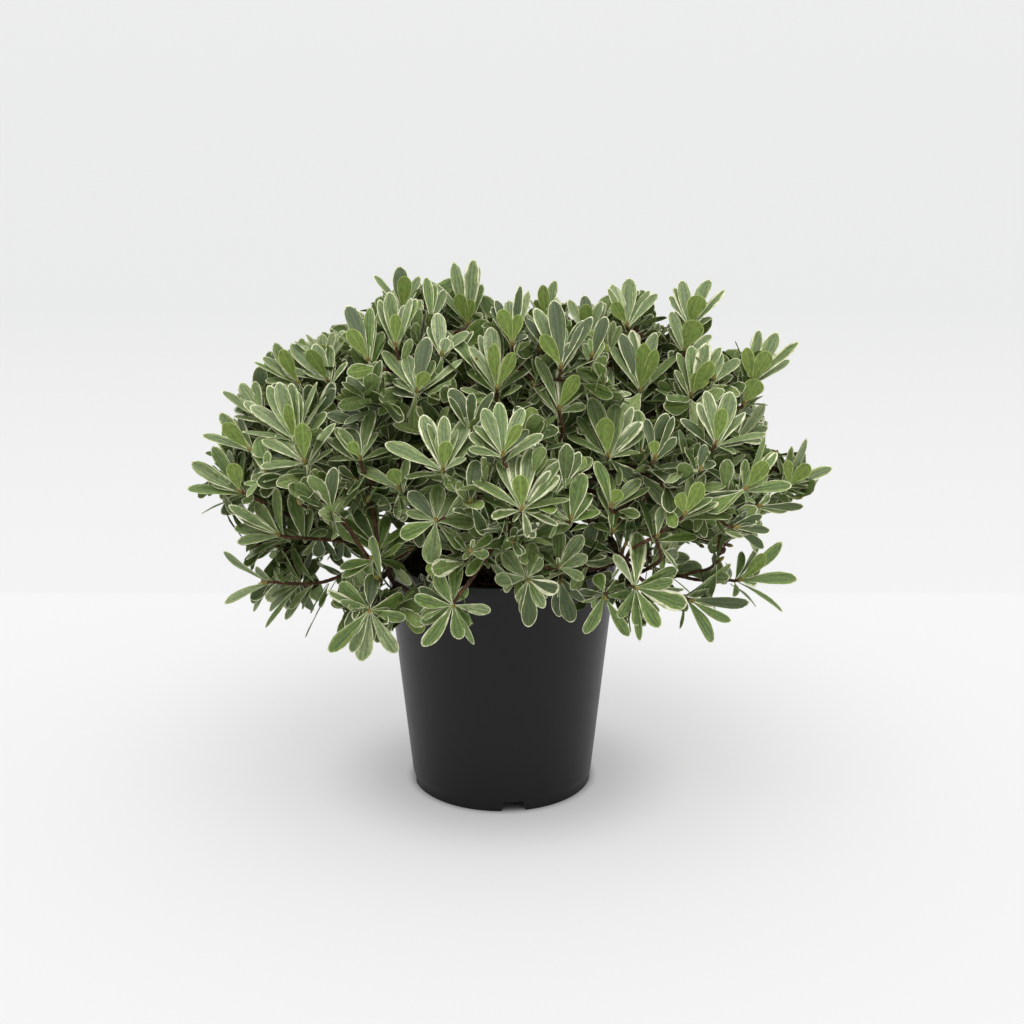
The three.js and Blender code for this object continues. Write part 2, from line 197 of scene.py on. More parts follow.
# The shoots that face the camera: where the leaves spring from, in pixels of the
# frame, the turn of the shoot in the picture (90 is up) and towards the camera,
# the length of its leaves, how many there are, and how it differs: y, a depth;
# to, where leaves end and how wide they look, in pixels; new, the same for new
# leaves; young, the length of a new leaf that isn't listed; pale, wide margins;
# low, leaves along the twig below the tip; stem, pixels that its twig passes on
# its way in; on, leaves alone, on a twig that is there already.
HEROES = [
    # low front, hanging over the pot's rim
    (369.5, 610.5, -82, 66, 44, 15, dict(tone=1, to=[(371, 573, 16), (340, 583, 16), (328, 594, 12), (341, 601, 13), (403, 598, 16), (389, 613, 11), (404, 620, 14), (396, 653, 15), (362, 661, 18), (351, 652, 12), (328, 651, 16), (350, 637, 10)])),
    (453.7, 606, -62, 70, 42, 13, dict(tone=1, to=[(456, 560, 16), (434, 575, 15), (419, 588, 11), (415, 601, 14), (423, 624, 12), (426, 647, 17), (458, 639, 14), (475, 643, 9), (468, 589, 11), (491, 608, 13)])),
    (528, 580, -72, 74, 38, 12, dict(to=[(533, 543, 14), (502, 554, 17), (541, 558, 12), (495, 578, 16), (527, 617, 18), (543, 580, 10), (558, 591, 16), (532, 626, 16), (519, 600, 10)])),
    (558.6, 567, 74, 58, 35, 11, dict(to=[(560, 529, 14), (583, 536, 15), (542, 551, 10), (588, 558, 13), (583, 579, 9), (543, 571, 11), (576, 550, 9)])),
    (560, 580, -88, 40, 42, 6, dict(tone=3, to=[(572, 622, 16), (553, 616, 13), (566, 605, 13)])),
    (605, 597, -80, 56, 38, 11, dict(tone=1, to=[(588, 634, 15), (627, 637, 12), (579, 590, 11), (598, 574, 14), (618, 582, 13), (634, 594, 13), (583, 602, 9)])),
    (636, 588, -40, 62, 48, 14, dict(tone=1, to=[(639, 533, 20), (616, 554, 11), (677, 570, 15), (673, 581, 13), (686, 606, 20), (637, 625, 15), (621, 618, 13), (656, 629, 15), (638, 641, 7), (634, 571, 7), (684, 590, 9)])),
    (436, 520, 92, 64, 40, 13, dict(to=[(412, 490, 15), (426, 493, 10), (438, 486, 16), (457, 494, 14), (474, 521, 17), (401, 537, 17), (430, 563, 19), (463, 545, 14), (407, 512, 11), (452, 534, 9)])),
    (522, 509, 90, 44, 54, 17, dict(pale=1, to=[(501, 461, 10), (509, 451, 18), (532, 447, 16), (521, 455, 12), (558, 460, 14), (560, 476, 15), (474, 480, 16), (477, 498, 15), (568, 499, 14), (539, 508, 12), (513, 520, 12), (527, 538, 13), (558, 526, 12), (492, 516, 12), (548, 470, 11)], new=[(520, 475, 17)])),
    (470, 551, 60, 60, 27, 8, dict(tone=1, to=[(493, 538, 10), (488, 556, 9), (456, 536, 9)])),
    (512, 541, -40, 64, 28, 8, dict(tone=3)),
    (378, 578, 150, 40, 40, 8, dict(tone=1)),
    (412, 548, 200, 40, 32, 7, dict(tone=3)),
    (373, 558, 150, 44, 36, 7, dict(tone=1, to=[(340, 567, 13), (342, 577, 12), (384, 585, 11), (405, 569, 12), (371, 590, 10)])),
    # middle
    (443, 470, 92, 36, 54, 14, dict(to=[(423, 415, 18), (444, 416, 14), (466, 415, 17), (432, 423, 9), (473, 437, 14), (464, 457, 10), (386, 443, 19), (428, 462, 14), (404, 478, 11), (455, 428, 10)], new=[(446, 441, 15)])),
    (503, 455, 92, 32, 52, 12, dict(to=[(481, 409, 15), (501, 402, 14), (522, 408, 14), (476, 425, 11), (483, 443, 10), (470, 448, 8), (528, 430, 9)], new=[(520, 424, 12)])),
    (608, 456, 89, 36, 54, 14, dict(to=[(594, 397, 18), (622, 405, 19), (636, 408, 11), (568, 435, 13), (576, 417, 12), (640, 421, 15), (647, 433, 9), (638, 451, 10), (613, 469, 11)], new=[(603, 418, 18)])),
    (571, 519, 84, 28, 43, 9, dict(tone=1, to=[(582, 473, 18), (592, 494, 10), (566, 497, 9), (600, 511, 14), (559, 521, 9)])),
    (655, 458, 70, 26, 44, 10, dict(tone=3, to=[(677, 418, 9), (663, 412, 17), (677, 438, 8), (678, 449, 8), (646, 419, 9), (663, 470, 13)], new=[(653, 441, 11)])),
    (611, 506, 78, 26, 36, 8, dict(to=[(603, 479, 9), (613, 475, 9), (638, 478, 14), (652, 490, 10), (597, 461, 15)], new=[(620, 490, 13)])),
    (613, 531, 60, 40, 34, 8, dict(tone=1, to=[(625, 503, 12), (644, 525, 9), (595, 524, 12)])),
    (657, 537, 60, 34, 43, 9, dict(stem=[(660, 560)], to=[(645, 499, 13), (662, 507, 9), (697, 536, 14), (668, 533, 9), (678, 571, 11)])),
    (378, 547, 96, 30, 50, 11, dict(tone=1, to=[(366, 493, 17), (350, 508, 15), (387, 516, 12), (402, 528, 12), (357, 540, 11), (342, 520, 10)])),
    (400, 489, 118, 36, 42, 10, dict(to=[(360, 466, 15), (405, 459, 11), (420, 472, 9), (375, 500, 9)], new=[(392, 469, 15)])),
    (360, 459, 92, 30, 50, 12, dict(to=[(370, 409, 14), (352, 427, 16), (341, 428, 12), (326, 438, 13), (391, 455, 10), (330, 459, 10), (391, 449, 11), (374, 432, 10)], new=[(350, 442, 12)])),
    (331, 508, 104, 28, 40, 8, dict(tone=3, stem=[(338, 518), (347, 526)])),
    (417, 392, 95, 36, 46, 12, dict(to=[(424, 337, 17), (404, 356, 15), (385, 350, 15), (394, 379, 10), (435, 361, 12), (392, 389, 9), (464, 361, 10), (440, 374, 10)], new=[(424, 371, 14)])),
    (497, 389, 92, 25, 52, 13, dict(stem=[(497, 408)], to=[(490, 327, 17), (477, 345, 13), (466, 353, 11), (502, 330, 10), (464, 371, 11), (536, 346, 10), (528, 367, 11), (479, 335, 10)], new=[(490, 344, 13), (516, 354, 13)])),
    (559, 409, 90, 26, 46, 12, dict(stem=[(559, 440)], to=[(550, 365, 13), (569, 361, 16), (541, 356, 12), (526, 377, 10), (586, 384, 9), (538, 392, 10), (585, 406, 9)], new=[(577, 375, 15)])),
    (640, 391, 88, 24, 54, 13, dict(stem=[(637, 407)], to=[(624, 333, 16), (635, 330, 13), (652, 332, 14), (610, 345, 15), (680, 352, 13), (608, 367, 13), (649, 377, 10), (664, 350, 9)], new=[(643, 343, 15), (659, 351, 13)])),
    (691, 395, 76, 20, 44, 11, dict(stem=[(684, 416)], to=[(681, 353, 12), (694, 346, 14), (709, 343, 15), (676, 370, 10), (722, 347, 9)], new=[(712, 361, 15), (702, 373, 18)])),
    (716, 444, 80, 26, 52, 13, dict(stem=[(700, 458), (680, 471), (655, 484), (632, 496)], to=[(708, 391, 13), (736, 393, 18), (744, 412, 10), (744, 441, 10), (735, 452, 11), (696, 403, 11), (686, 418, 14), (764, 432, 12), (706, 424, 8)], new=[(722, 408, 14)])),
    (684, 515, 62, 26, 46, 10, dict(stem=[(665, 529), (650, 539), (632, 549)], to=[(697, 469, 18), (732, 516, 12), (708, 476, 10)], new=[(704, 484, 16), (677, 494, 13)])),
    (745, 489, 38, 26, 44, 13, dict(tone=1, to=[(791, 484, 14), (747, 468, 14), (766, 437, 10), (772, 450, 10), (779, 455, 9), (748, 501, 13), (739, 485, 11)], new=[(767, 462, 16)])),
    (296, 441, 116, 22, 54, 14, dict(stem=[(301, 457), (315, 482), (328, 500), (342, 519)], to=[(265, 387, 14), (276, 383, 16), (291, 383, 15), (300, 390, 13), (310, 384, 10), (327, 397, 11), (253, 404, 15), (247, 428, 11), (270, 419, 12)], new=[(284, 405, 11)])),
    (305, 462, 112, 34, 46, 11, dict(to=[(261, 441, 13), (263, 463, 14), (331, 423, 13), (332, 449, 10), (275, 436, 12), (266, 472, 10)], new=[(303, 423, 17)])),
    (328, 381, 118, 24, 50, 12, dict(stem=[(339, 398)], to=[(289, 345, 15), (316, 343, 13), (331, 345, 11), (281, 369, 11), (345, 362, 10), (299, 350, 11), (303, 372, 12)], new=[(310, 349, 15)])),
    (375, 425, 100, 34, 44, 9, dict(tone=3)),
    (470, 430, 88, 30, 44, 8, dict(tone=3)),
    (470, 503, 88, 26, 42, 7, dict(tone=3, to=[(475, 460, 16)])),
    (533, 470, 84, 20, 40, 7, dict(tone=1)),
    (583, 560, 80, 44, 40, 8, dict(tone=3)),
    # left edge
    (299, 383, 126, 16, 42, 10, dict(y=-40, to=[(271, 345, 13), (262, 357, 13), (253, 363, 10), (282, 368, 9)], new=[(280, 350, 14)])),
    (262, 418, 128, 14, 46, 10, dict(y=-50, to=[(223, 390, 12), (240, 383, 14), (256, 380, 12), (244, 402, 11), (234, 416, 10)])),
    (251, 450, 146, 10, 42, 9, dict(y=-60, to=[(203, 433, 10), (219, 414, 13), (237, 417, 11), (232, 438, 9)], new=[(224, 423, 15)])),
    (241, 491.4, 150, 8, 52, 12, dict(y=-70, low=2, stem=[(258, 500), (273, 507), (292, 517), (314, 528), (338, 538)], to=[(190, 464, 15), (212, 446, 16), (229, 448, 13), (243, 452, 11), (186, 490, 13), (202, 512, 7)], new=[(233, 463, 16)])),
    (279, 535, 150, 18, 44, 12, dict(y=-90, stem=[(300, 538), (330, 540), (356, 543), (378, 549), (404, 552)], to=[(274, 490, 14), (256, 502, 14), (236, 512, 13), (236, 524, 13), (237, 542, 13), (247, 557, 14), (229, 505, 10)])),
    (304, 537.5, 100, 30, 38, 5, dict(y=-84, on=1, to=[(289, 491, 16), (311, 509, 12), (283, 529, 10), (326, 530, 9)])),
    (266, 582, 182, 8, 40, 6, dict(y=-100, low=0, stem=[(282, 583), (296, 584), (318, 583), (338, 577), (360, 566), (384, 557), (410, 550)], to=[(223, 552, 14), (255, 569, 12), (224, 600, 13), (253, 613, 11)])),
    (296, 584, 182, 8, 40, 4, dict(y=-91, on=1, to=[(269, 609, 12), (270, 596, 9), (265, 626, 6), (282, 551, 14), (271, 556, 9)])),
    (309, 584, 182, 8, 40, 4, dict(y=-88, on=1, to=[(289, 609, 13), (302, 609, 14), (285, 621, 9), (293, 550, 13)])),
    (323, 583, 182, 8, 40, 3, dict(y=-84, on=1, to=[(311, 614, 9), (321, 606, 8)])),
    (337, 577, 182, 8, 40, 3, dict(y=-79, on=1, to=[(305, 637, 10), (317, 563, 7)])),
    (300, 503, 120, 24, 38, 8, dict(tone=3)),
    (268, 474, 112, 18, 44, 8, dict(tone=1)),
    # top
    (368, 360, 108, 18, 50, 11, dict(tone=1, to=[(352, 304, 16), (366, 308, 13), (374, 317, 11), (346, 316, 10), (330, 329, 9), (388, 338, 9)], new=[(351, 328, 15)])),
    (403, 313, 92, 10, 42, 10, dict(y=0, to=[(400, 266, 16), (373, 275, 10), (416, 276, 8), (388, 296, 9)], new=[(406, 276, 15)])),
    (396, 346, 97, 22, 44, 10, dict(to=[(387, 292, 15), (378, 300, 11), (405, 305, 10), (414, 298, 10), (420, 299, 12), (392, 337, 9)], new=[(395, 314, 12)])),
    (432, 318, 80, 16, 40, 8, dict(y=5, tone=1, to=[(427, 277, 11), (434, 284, 8), (446, 290, 9)])),
    (442, 355, 91, 20, 42, 11, dict(to=[(436, 313, 15), (438, 327, 11), (466, 331, 15), (447, 338, 12), (426, 327, 10), (415, 341, 9)])),
    (468, 325, 89, 10, 54, 14, dict(y=20, to=[(450, 262, 13), (461, 277, 9), (474, 259, 15), (480, 267, 10), (485, 284, 11), (431, 280, 9), (427, 296, 10), (440, 291, 10), (443, 321, 10), (481, 313, 9)], new=[(457, 294, 14), (471, 299, 11)])),
    (512, 344, 91, 14, 46, 10, dict(tone=3, to=[(499, 299, 11), (511, 300, 15), (488, 307, 11), (522, 285, 9), (529, 291, 9), (524, 334, 15)], new=[(502, 309, 15), (521, 315, 11)])),
    (546, 322, 91, 10, 40, 9, dict(y=40, to=[(556, 280, 12), (528, 297, 9), (535, 309, 11)], new=[(542, 285, 12)])),
    (561, 367, 86, 24, 56, 13, dict(tone=3, to=[(536, 308, 16), (558, 300, 17), (581, 320, 13), (593, 317, 15), (525, 318, 12), (560, 326, 11)], new=[(543, 334, 15)])),
    (588, 340, 89, 12, 42, 9, dict(y=30, to=[(587, 295, 13), (597, 301, 9), (606, 303, 8), (568, 300, 9)], new=[(584, 304, 14)])),
    (592, 356, 84, 18, 42, 7, dict(tone=1, to=[(608, 317, 15), (602, 342, 11), (580, 357, 10)])),
    (627, 326, 89, 14, 52, 12, dict(y=0, to=[(632, 278, 16), (616, 284, 13), (610, 288, 10), (648, 290, 10), (659, 294, 8), (651, 315, 10), (666, 318, 9)], new=[(612, 303, 13)])),
    (655, 340, 84, 12, 42, 8, dict(y=20)),
    (690, 325, 84, 14, 50, 11, dict(y=-6, to=[(682, 280, 13), (676, 287, 10), (708, 279, 15), (727, 290, 10), (669, 296, 7), (711, 317, 11)], new=[(698, 295, 19)])),
    (684, 352, 84, 16, 44, 8, dict(y=-24, to=[(671, 311, 12), (669, 328, 10), (712, 335, 9)], new=[(696, 320, 21)])),
    (751, 383, 64, 18, 52, 12, dict(y=-50, to=[(758, 329, 12), (735, 341, 8), (777, 332, 15), (797, 341, 9), (789, 359, 12)], new=[(745, 348, 13), (768, 351, 17)])),
    (744, 404, 64, 18, 46, 9, dict(y=-58, to=[(763, 396, 7), (769, 406, 8), (725, 398, 12)], new=[(757, 379, 20)])),
    (714, 379, 74, 22, 42, 9, dict(to=[(739, 359, 16), (724, 352, 10), (730, 376, 9)])),
    (476, 362, 90, 24, 44, 9, dict(tone=1)),
    (604, 384, 90, 24, 44, 9, dict(tone=1)),
    # right edge
    (787, 486, 26, 6, 50, 10, dict(y=-30, to=[(810, 445, 16), (832, 467, 12), (792, 446, 8), (807, 496, 8), (776, 452, 9)], new=[(810, 465, 14), (788, 460, 10)])),
    (736, 441, 50, 14, 42, 9, dict(y=-40, to=[(766, 425, 13), (768, 406, 11), (763, 440, 9), (757, 452, 9)])),
    (758, 506, 2, 8, 40, 7, dict(y=-60, to=[(804, 508, 8), (789, 512, 9), (771, 497, 9)])),
    (735, 527, 8, 20, 42, 9, dict(tone=3, to=[(770, 531, 10), (762, 514, 11), (764, 546, 9), (757, 522, 9)])),
    (739, 580, 20, 8, 52, 9, dict(y=-70, low=0, tone=1, stem=[(727, 580), (700, 580), (680, 576), (655, 569), (630, 560), (605, 553)], to=[(784, 546, 14), (797, 577, 14), (783, 612, 10), (757, 581, 17), (735, 596, 9), (742, 551, 9), (760, 545, 10)], new=[(768, 557, 13)])),
    (690, 600, -28, 10, 50, 8, dict(y=-110, low=0, tone=1, stem=[(674, 592), (658, 583), (640, 578)], to=[(749, 604, 16), (729, 625, 10), (714, 641, 17), (680, 628, 9), (732, 562, 15), (706, 583, 11)])),
    (668, 572, 20, 20, 44, 4, dict(y=-50, on=1, to=[(701, 564, 16), (690, 592, 9)])),
    (652, 567, 40, 20, 44, 4, dict(y=-46, on=1, to=[(648, 540, 13), (628, 545, 12), (640, 596, 12)])),
    (628, 559, 90, 20, 44, 4, dict(y=-39, on=1, to=[(604, 536, 13), (614, 578, 12), (655, 548, 11)])),
    (348, 571, 150, 20, 44, 4, dict(y=-76, on=1, to=[(330, 552, 10), (352, 594, 9)])),
    (319, 540.5, 270, 10, 40, 4, dict(y=-79, on=1, tone=3, to=[(305, 556, 12), (319, 557, 13), (334, 556, 14), (300, 574, 9)])),
    (342, 543.5, 250, 10, 40, 4, dict(y=-72, on=1, tone=3, to=[(347, 558, 13), (358, 556, 12), (337, 561, 10)])),
    (318, 562, 330, 10, 40, 2, dict(y=-78, on=1, tone=3, to=[(340, 577, 6)])),
    (372, 562, 150, 20, 44, 4, dict(y=-68, on=1, to=[(352, 545, 11), (392, 588, 12)])),
    (712, 528, 0, 20, 44, 9, dict(y=-30, tone=3)),
    (728, 545, -12, 15, 42, 9, dict(y=-60, tone=3)),
    (700, 545, -30, 30, 38, 8, dict(y=-44, tone=3)),
    (625, 545, 60, 30, 38, 9, dict(tone=3)),
    (720, 560, 40, 16, 40, 6, dict(y=-90, stem=[(708, 569), (694, 572), (680, 576), (655, 569)])),
    (700, 470, 70, 20, 36, 7, dict(tone=3, to=[(688, 448, 11), (715, 462, 11)])),
]

# The crown's outline in the picture, in pixels: leaves that aren't listed stay in it.
OUTLINE = [
    (472, 259), (481, 268), (488, 300), (514, 300), (522, 285), (534, 294), (556, 280), (558, 296), (572, 298),
    (574, 318), (583, 296), (602, 303), (610, 287), (633, 279), (650, 290), (660, 294), (657, 318), (668, 312),
    (668, 294), (681, 280), (694, 296), (708, 279), (712, 300), (727, 291), (705, 330), (712, 343), (722, 344),
    (730, 358), (734, 340), (746, 348), (757, 328), (765, 344), (778, 332), (781, 355), (796, 341), (785, 373),
    (764, 386), (754, 410), (770, 407), (764, 434), (782, 459), (791, 446), (810, 444), (813, 467), (831, 467),
    (823, 481), (804, 492), (804, 508), (765, 513), (768, 531), (753, 534), (783, 547), (769, 569), (797, 576),
    (757, 582), (745, 592), (783, 611), (751, 605), (728, 613), (728, 625), (712, 616), (717, 639), (696, 631),
    (689, 611), (680, 627), (668, 610), (656, 628), (645, 625), (638, 640), (633, 628), (626, 636), (610, 606),
    (600, 610), (590, 634), (583, 606), (572, 624), (553, 618), (532, 627), (516, 612), (508, 592), (492, 609),
    (478, 645), (458, 640), (426, 648), (412, 622), (404, 612), (396, 654), (380, 641), (362, 660), (345, 645),
    (326, 651), (334, 630), (351, 609), (325, 604), (305, 637), (306, 605), (266, 626), (268, 606), (251, 614),
    (246, 604), (224, 599), (260, 581), (222, 556), (246, 560), (237, 542), (245, 529), (230, 517), (202, 512),
    (226, 506), (186, 490), (200, 482), (190, 464), (206, 468), (213, 444), (203, 433), (219, 438), (217, 415),
    (232, 418), (224, 390), (236, 393), (239, 382), (250, 386), (252, 363), (262, 355), (269, 345), (282, 350),
    (291, 335), (304, 333), (306, 324), (328, 330), (322, 317), (340, 325), (349, 304), (366, 300), (379, 295),
    (373, 275), (390, 291), (400, 266), (411, 278), (427, 276), (444, 286), (447, 265), (464, 276),
]
OUT = np.array(OUTLINE, float)


def in_outline(u, v):
    """Which of the points (arrays of pixels) are inside the outline."""
    u, v = np.atleast_1d(u)[:, None], np.atleast_1d(v)[:, None]
    a, b = OUT, np.roll(OUT, -1, axis=0)
    cross = (a[:, 1] > v) != (b[:, 1] > v)
    at = a[:, 0] + (v - a[:, 1]) * (b[:, 0] - a[:, 0]) / np.where(b[:, 1] == a[:, 1], 1e-9, b[:, 1] - a[:, 1])
    return (cross & (u < at)).sum(axis=1) % 2 == 1


def well_inside(u, v, d=4.5):
    """In the outline, and not right at its edge."""
    u, v = np.atleast_1d(u), np.atleast_1d(v)
    return in_outline(u - d, v) & in_outline(u + d, v) & in_outline(u, v - d)


def in_gap(u, v, grow=0.0, places=None):
    u, v = np.atleast_1d(u), np.atleast_1d(v)
    hit = np.zeros(len(u), bool)
    for gu, gv, ru, rv in OPEN if places is None else places:
        hit |= ((u - gu) / (ru + grow)) ** 2 + ((v - gv) / (rv + grow)) ** 2 < 1
    return hit


# Places in the picture where the background shows through the skirt: centre and
# half sizes in pixels. Shoots that aren't listed above stay off them.
OPEN = [
    (312, 561, 4, 4), (326, 570, 11, 7), (268, 563, 5, 7), (250, 519, 12, 3), (236, 574, 14, 6),
    (280, 632, 60, 14), (327, 591, 8, 12), (350, 553, 9, 3), (366, 552, 6, 4),
    (612, 546, 8, 4), (644, 564, 5, 8), (690, 549, 13, 6), (686, 583, 16, 6), (708, 548, 6, 6),
    (706, 566, 8, 5), (738, 546, 10, 10), (724, 592, 14, 6), (662, 622, 10, 10), (740, 624, 40, 16),
    (725, 556, 6, 5), (751, 560, 5, 10), (664, 304, 4, 16), (643, 283, 4, 5), (656, 287, 5, 5), (667, 333, 3, 6),
]
# Places where the dark inside of the crown shows, above the potting mix.
SHADE = [
    (412, 562, 13, 12), (398, 588, 8, 10), (482, 582, 20, 12), (446, 550, 8, 6),
    (593, 575, 8, 8), (560, 602, 6, 10),
]


def mass_of(p):
    return int(np.argmin(depth_in(p)[0]))


def place(u, v, face, y=None):
    """Where a shoot of the front stands: on the pixel's ray, a little inside the masses."""
    d = ray(u, v)
    if y is not None:
        return CAM + d * ((y - CAM[1]) / d[1])
    t = np.linspace(1300, 2300, 700)
    p = CAM + t[:, None] * d
    inside = depth_in(p).min(axis=1) < 1.0
    if inside.any():
        i = int(np.argmax(inside))
        j = i
        while j + 1 < len(t) and inside[j + 1]:
            j += 1
        thick = t[j] - t[i]
        side_on = min(thick * 0.42, 60)
        k = math.sin(math.radians(max(face, 0)))
        return CAM + d * (t[i] + side_on * (1 - k) + 20 * k)
    # the nearest the ray comes to a mass
    near = int(np.argmin(depth_in(p).min(axis=1)))
    return p[near]


tips = []     # dicts: p, axis, L, n, mass, tone, young, pale, low, stem, kind

for u, v, turn, face, L, n, more in HEROES:
    p = place(u, v, face, more.get("y"))
    ta, fa = math.radians(turn), math.radians(face)
    axis = (RIGHT * math.cos(ta) + UPC * math.sin(ta)) * math.cos(fa) - FORE * math.sin(fa)
    stem = []
    last = np.array([u, v])
    reach = 0.0
    for q in more.get("stem", []):
        reach += float(np.hypot(*(np.array(q) - last)))
        last = np.array(q)
        y = p[1] + 0.30 * reach * (1 if p[1] < 40 else -1)
        d = ray(*q)
        stem.append(CAM + d * ((y - CAM[1]) / d[1]))
    tips.append(dict(p=p, axis=unit(axis), L=L * 1.06, n=n + 2, tone=more.get("tone", 0), kind=0,
                     young=more.get("young", 0), pale=more.get("pale", 0), on=more.get("on", 0),
                     to=more.get("to", []), new=more.get("new", []),
                     low=more.get("low", 3), stem=stem))
n_hero = len(tips)
hero_uvz = np.array([np.ravel(project(t["p"])) for t in tips])
hero_L = np.array([t["L"] for t in tips])
stem_uvz = np.array([np.ravel(project(q)) for t in tips for q in t["stem"]])
# points along the listed leaves
guard = []
for t, (u0, v0, z0) in zip(tips, hero_uvz):
    for u, v, w in t["to"] + t["new"]:
        guard += [(u0 + (u - u0) * f, v0 + (v - v0) * f, z0 + 8) for f in (0.45, 0.7, 0.92)]
guard = np.array(guard)


def hides_listed(p, axis, L):
    """Whether a shoot's leaves would stand in front of listed ones."""
    x = unit(np.cross(axis, [0.31, 0.87, 0.38]))
    y = np.cross(axis, x)
    a = np.arange(12) * math.pi / 6
    ring = p + axis * L * 0.4 + L * 0.5 * (np.cos(a)[:, None] * x + np.sin(a)[:, None] * y)
    ring = np.concatenate([ring, p + axis * L * np.array([0.0, 0.3, 0.6])[:, None]])
    u, v, z = project(ring)
    near = (np.hypot(u[:, None] - guard[:, 0], v[:, None] - guard[:, 1]) < 8) & (z[:, None] < guard[:, 2] - 2)
    return near.any(axis=1).mean() > 0.3



def sphere_points(n, seed):
    k = np.arange(n) + 0.5
    z = 1 - 2 * k / n
    f = k * 2.399963 + seed
    r = np.sqrt(1 - z * z)
    return np.stack([np.cos(f) * r, np.sin(f) * r, z], 1)


def surface_points(count, inset):
    """Points a given depth under the crown's outside, with outward directions."""
    got, way, own = [], [], []
    for i in range(len(NAMES)):
        q = sphere_points(count, 0.7 * i)
        local = q * M_SIZE[i]
        normal = unit((q / M_SIZE[i]) @ M_AXES[i])
        p = M_CENTRE[i] + local @ M_AXES[i]
        d = depth_in(p)
        d[:, i] = 9
        keep = d.min(axis=1) > 0.90
        hub = (p[:, 0] ** 2 + p[:, 1] ** 2) / 118**2 + ((p[:, 2] - 296) / 112) ** 2
        keep &= hub > 1
        flat = np.hypot(p[:, 0], p[:, 1])
        keep &= (flat > 124) | (p[:, 2] > 256)
        outward = unit(p * [1, 1, 1] - np.array([0, 0, 250.0]))
        keep &= np.einsum("ij,ij->i", normal, outward) > -0.05
        keep &= (normal[:, 2] > -0.75) & (p[:, 2] > 198)
        got.append((p - normal * inset)[keep])
        way.append(normal[keep])
        own.append(np.full(int(keep.sum()), i))
    return np.concatenate(got), np.concatenate(way), np.concatenate(own)


def clear_of_picture(p, reach, back):
    """False where a shoot would cover one that is listed, or a gap."""
    u, v, z = (float(a[0]) for a in project(p))
    off = np.hypot(hero_uvz[:, 0] - u, hero_uvz[:, 1] - v)
    if np.any((off < hero_L * reach) & (z < hero_uvz[:, 2] + back)):
        return False
    off = np.hypot(stem_uvz[:, 0] - u, stem_uvz[:, 1] - v)
    if np.any((off < 30) & (z < stem_uvz[:, 2] + 10)):
        return False
    if in_gap(u, v, 13)[0] or not in_outline(u, v)[0] or (p[1] < 50 and in_gap(u, v, 10, SHADE)[0]):
        return False
    return True


def fill(inset, spacing, kind, reach, back, L, n, count=520):
    pts, way, own = surface_points(count, inset)
    order = rng.permutation(len(pts))
    at = [t["p"] for t in tips if kind == 0 or t["kind"] == kind]
    at = np.array(at) if at else np.zeros((0, 3))
    space = spacing
    for i in order:
        p = pts[i] + rng.normal(0, 2.5, 3)
        if len(at) and np.min(np.linalg.norm(at - p, axis=1)) < space:
            continue
        if not clear_of_picture(p, reach, back):
            continue
        w = way[i]
        low = np.clip((330 - p[2]) / 90, 0, 1)
        lift = 0.62 - 0.62 * low
        level = unit([p[0], p[1], 0.0])
        axis = unit(0.8 * w * [1, 1, 1 - 0.6 * low] + lift * UP + 0.35 * low * level + rng.normal(0, 0.16, 3))
        if hides_listed(p, axis, L):
            continue
        # the inner layers are mostly given the deep green tone, painted shade inside the crown
        tips.append(dict(p=p, axis=axis, L=L * rng.uniform(0.86, 1.14), n=int(rng.integers(n[0], n[1] + 1)),
                         tone=int(rng.choice([0, 1, 2, 3], p=[0.42, 0.22, 0.16, 0.20] if kind == 0 else [0.12, 0.12, 0, 0.76])), kind=kind,
                         young=rng.uniform(18, 30) if rng.random() < 0.55 and kind == 0 else 0,
                         pale=1 if rng.random() < 0.12 else 0,
                         low=int(rng.integers(2, 5)) if kind == 0 else int(rng.integers(1, 3)), stem=[]))
        at = np.vstack([at, p])


fill(26, 36, 0, 0.50, 14, 47, (11, 13), count=1100)
n_shell = len(tips)
fill(56, 27, 1, 0.0, 0, 44, (8, 10), count=900)
n_inner = len(tips)
fill(90, 36, 2, 0.0, 0, 44, (8, 10), count=700)
n_deep = len(tips)


